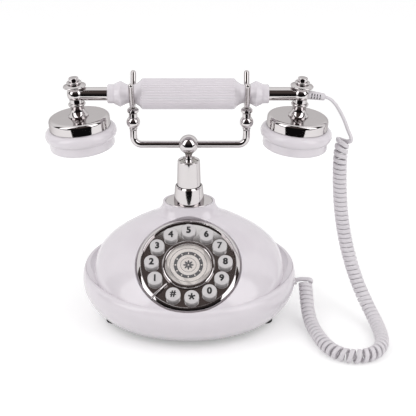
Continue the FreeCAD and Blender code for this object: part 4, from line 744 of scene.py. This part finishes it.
def studio_world():
    """White all round: even light on the object, and a brighter sky than horizon to the eye."""
    world = bpy.data.worlds.new("studio")
    scene.world = world
    world.use_nodes = True
    n = Nodes(world.node_tree)
    background = world.node_tree.nodes["Background"]
    background.inputs["Color"].default_value = (1, 1, 1, 1)
    way = n.add("ShaderNodeTexCoord")
    split = n.add("ShaderNodeSeparateXYZ")
    n.link(way.outputs["Generated"], split.inputs["Vector"])
    height = n.add("ShaderNodeMapRange", From_Min=GLOW_RISE, To_Min=BACK_GLOW, To_Max=TOP_GLOW)
    n.link(split.outputs["Z"], height.inputs["Value"])
    mixed = n.add("ShaderNodeMapRange", To_Min=WORLD_LIGHT)
    n.link(height.outputs["Result"], mixed.inputs["To Max"])
    n.link(seen_by_eye(n), mixed.inputs["Value"])
    n.link(mixed.outputs["Result"], background.inputs["Strength"])


def toward(azimuth, elevation, distance):
    """Point seen from the cradle at an angle to the left or right of the front, and over the horizon."""
    a, e = math.radians(azimuth), math.radians(elevation)
    way = Vector((math.sin(a) * math.cos(e), -math.cos(a) * math.cos(e), math.sin(e)))
    return CRADLE_MIDDLE + way * distance


def room_material():
    """Nearly black low down, dim brown higher up."""
    made = glow("dark_room", (0, 0, 0), 1.0)
    n = Nodes(made.node_tree)
    coords = n.add("ShaderNodeTexCoord")
    split = n.add("ShaderNodeSeparateXYZ")
    n.link(coords.outputs["Object"], split.inputs["Vector"])
    rise = n.add("ShaderNodeMapRange", From_Min=BLACK_HEIGHT, From_Max=BROWN_HEIGHT)
    n.link(split.outputs["Z"], rise.inputs["Value"])
    ramp = n.add("ShaderNodeValToRGB")
    ramp.color_ramp.elements[0].color = ROOM_BLACK
    ramp.color_ramp.elements[1].color = ROOM_BROWN
    n.link(rise.outputs["Result"], ramp.inputs["Fac"])
    n.link(ramp.outputs["Color"], made.node_tree.nodes["Emission"].inputs["Color"])
    return made


def dark_room():
    """Part of a large ball round the front, out to the sides and nearly up to the zenith."""
    verts = []
    for r in range(ROOM_ROWS + 1):
        elevation = ROOM_LOW + (ROOM_HIGH - ROOM_LOW) * r / ROOM_ROWS
        z = math.sin(math.radians(elevation))
        flat = max(math.cos(math.radians(elevation)), LEAST_COSINE)
        edge = min(max((ROOM_EDGE - ROOM_EDGE_SLOPE * z) / flat, -1), 1)
        reach = math.degrees(math.acos(-edge))
        for c in range(ROOM_COLUMNS + 1):
            verts.append(toward(-reach + 2 * reach * c / ROOM_COLUMNS, elevation, ROOM_RADIUS))
    faces = []
    for r in range(ROOM_ROWS):
        for c in range(ROOM_COLUMNS):
            k = r * (ROOM_COLUMNS + 1) + c
            faces.append((k, k + 1, k + ROOM_COLUMNS + 2, k + ROOM_COLUMNS + 1))
    made = stage_mesh("dark_room", verts, faces, room_material())
    made.visible_camera = False
    made.visible_diffuse = False
    made.visible_transmission = False


def studio_lamps():
    shine = glow("lamp", LAMP_COLOR, LAMP_STRENGTH)
    for name, sign in (("lamp_left", -1), ("lamp_right", 1)):
        corners = [toward(sign * a, e, LAMP_DISTANCE) for a, e in LAMP_CORNERS]
        lamp = stage_mesh(name, corners, [(0, 1, 2, 3)], shine)
        lamp.visible_camera = False


studio_floor()
studio_world()
dark_room()
studio_lamps()
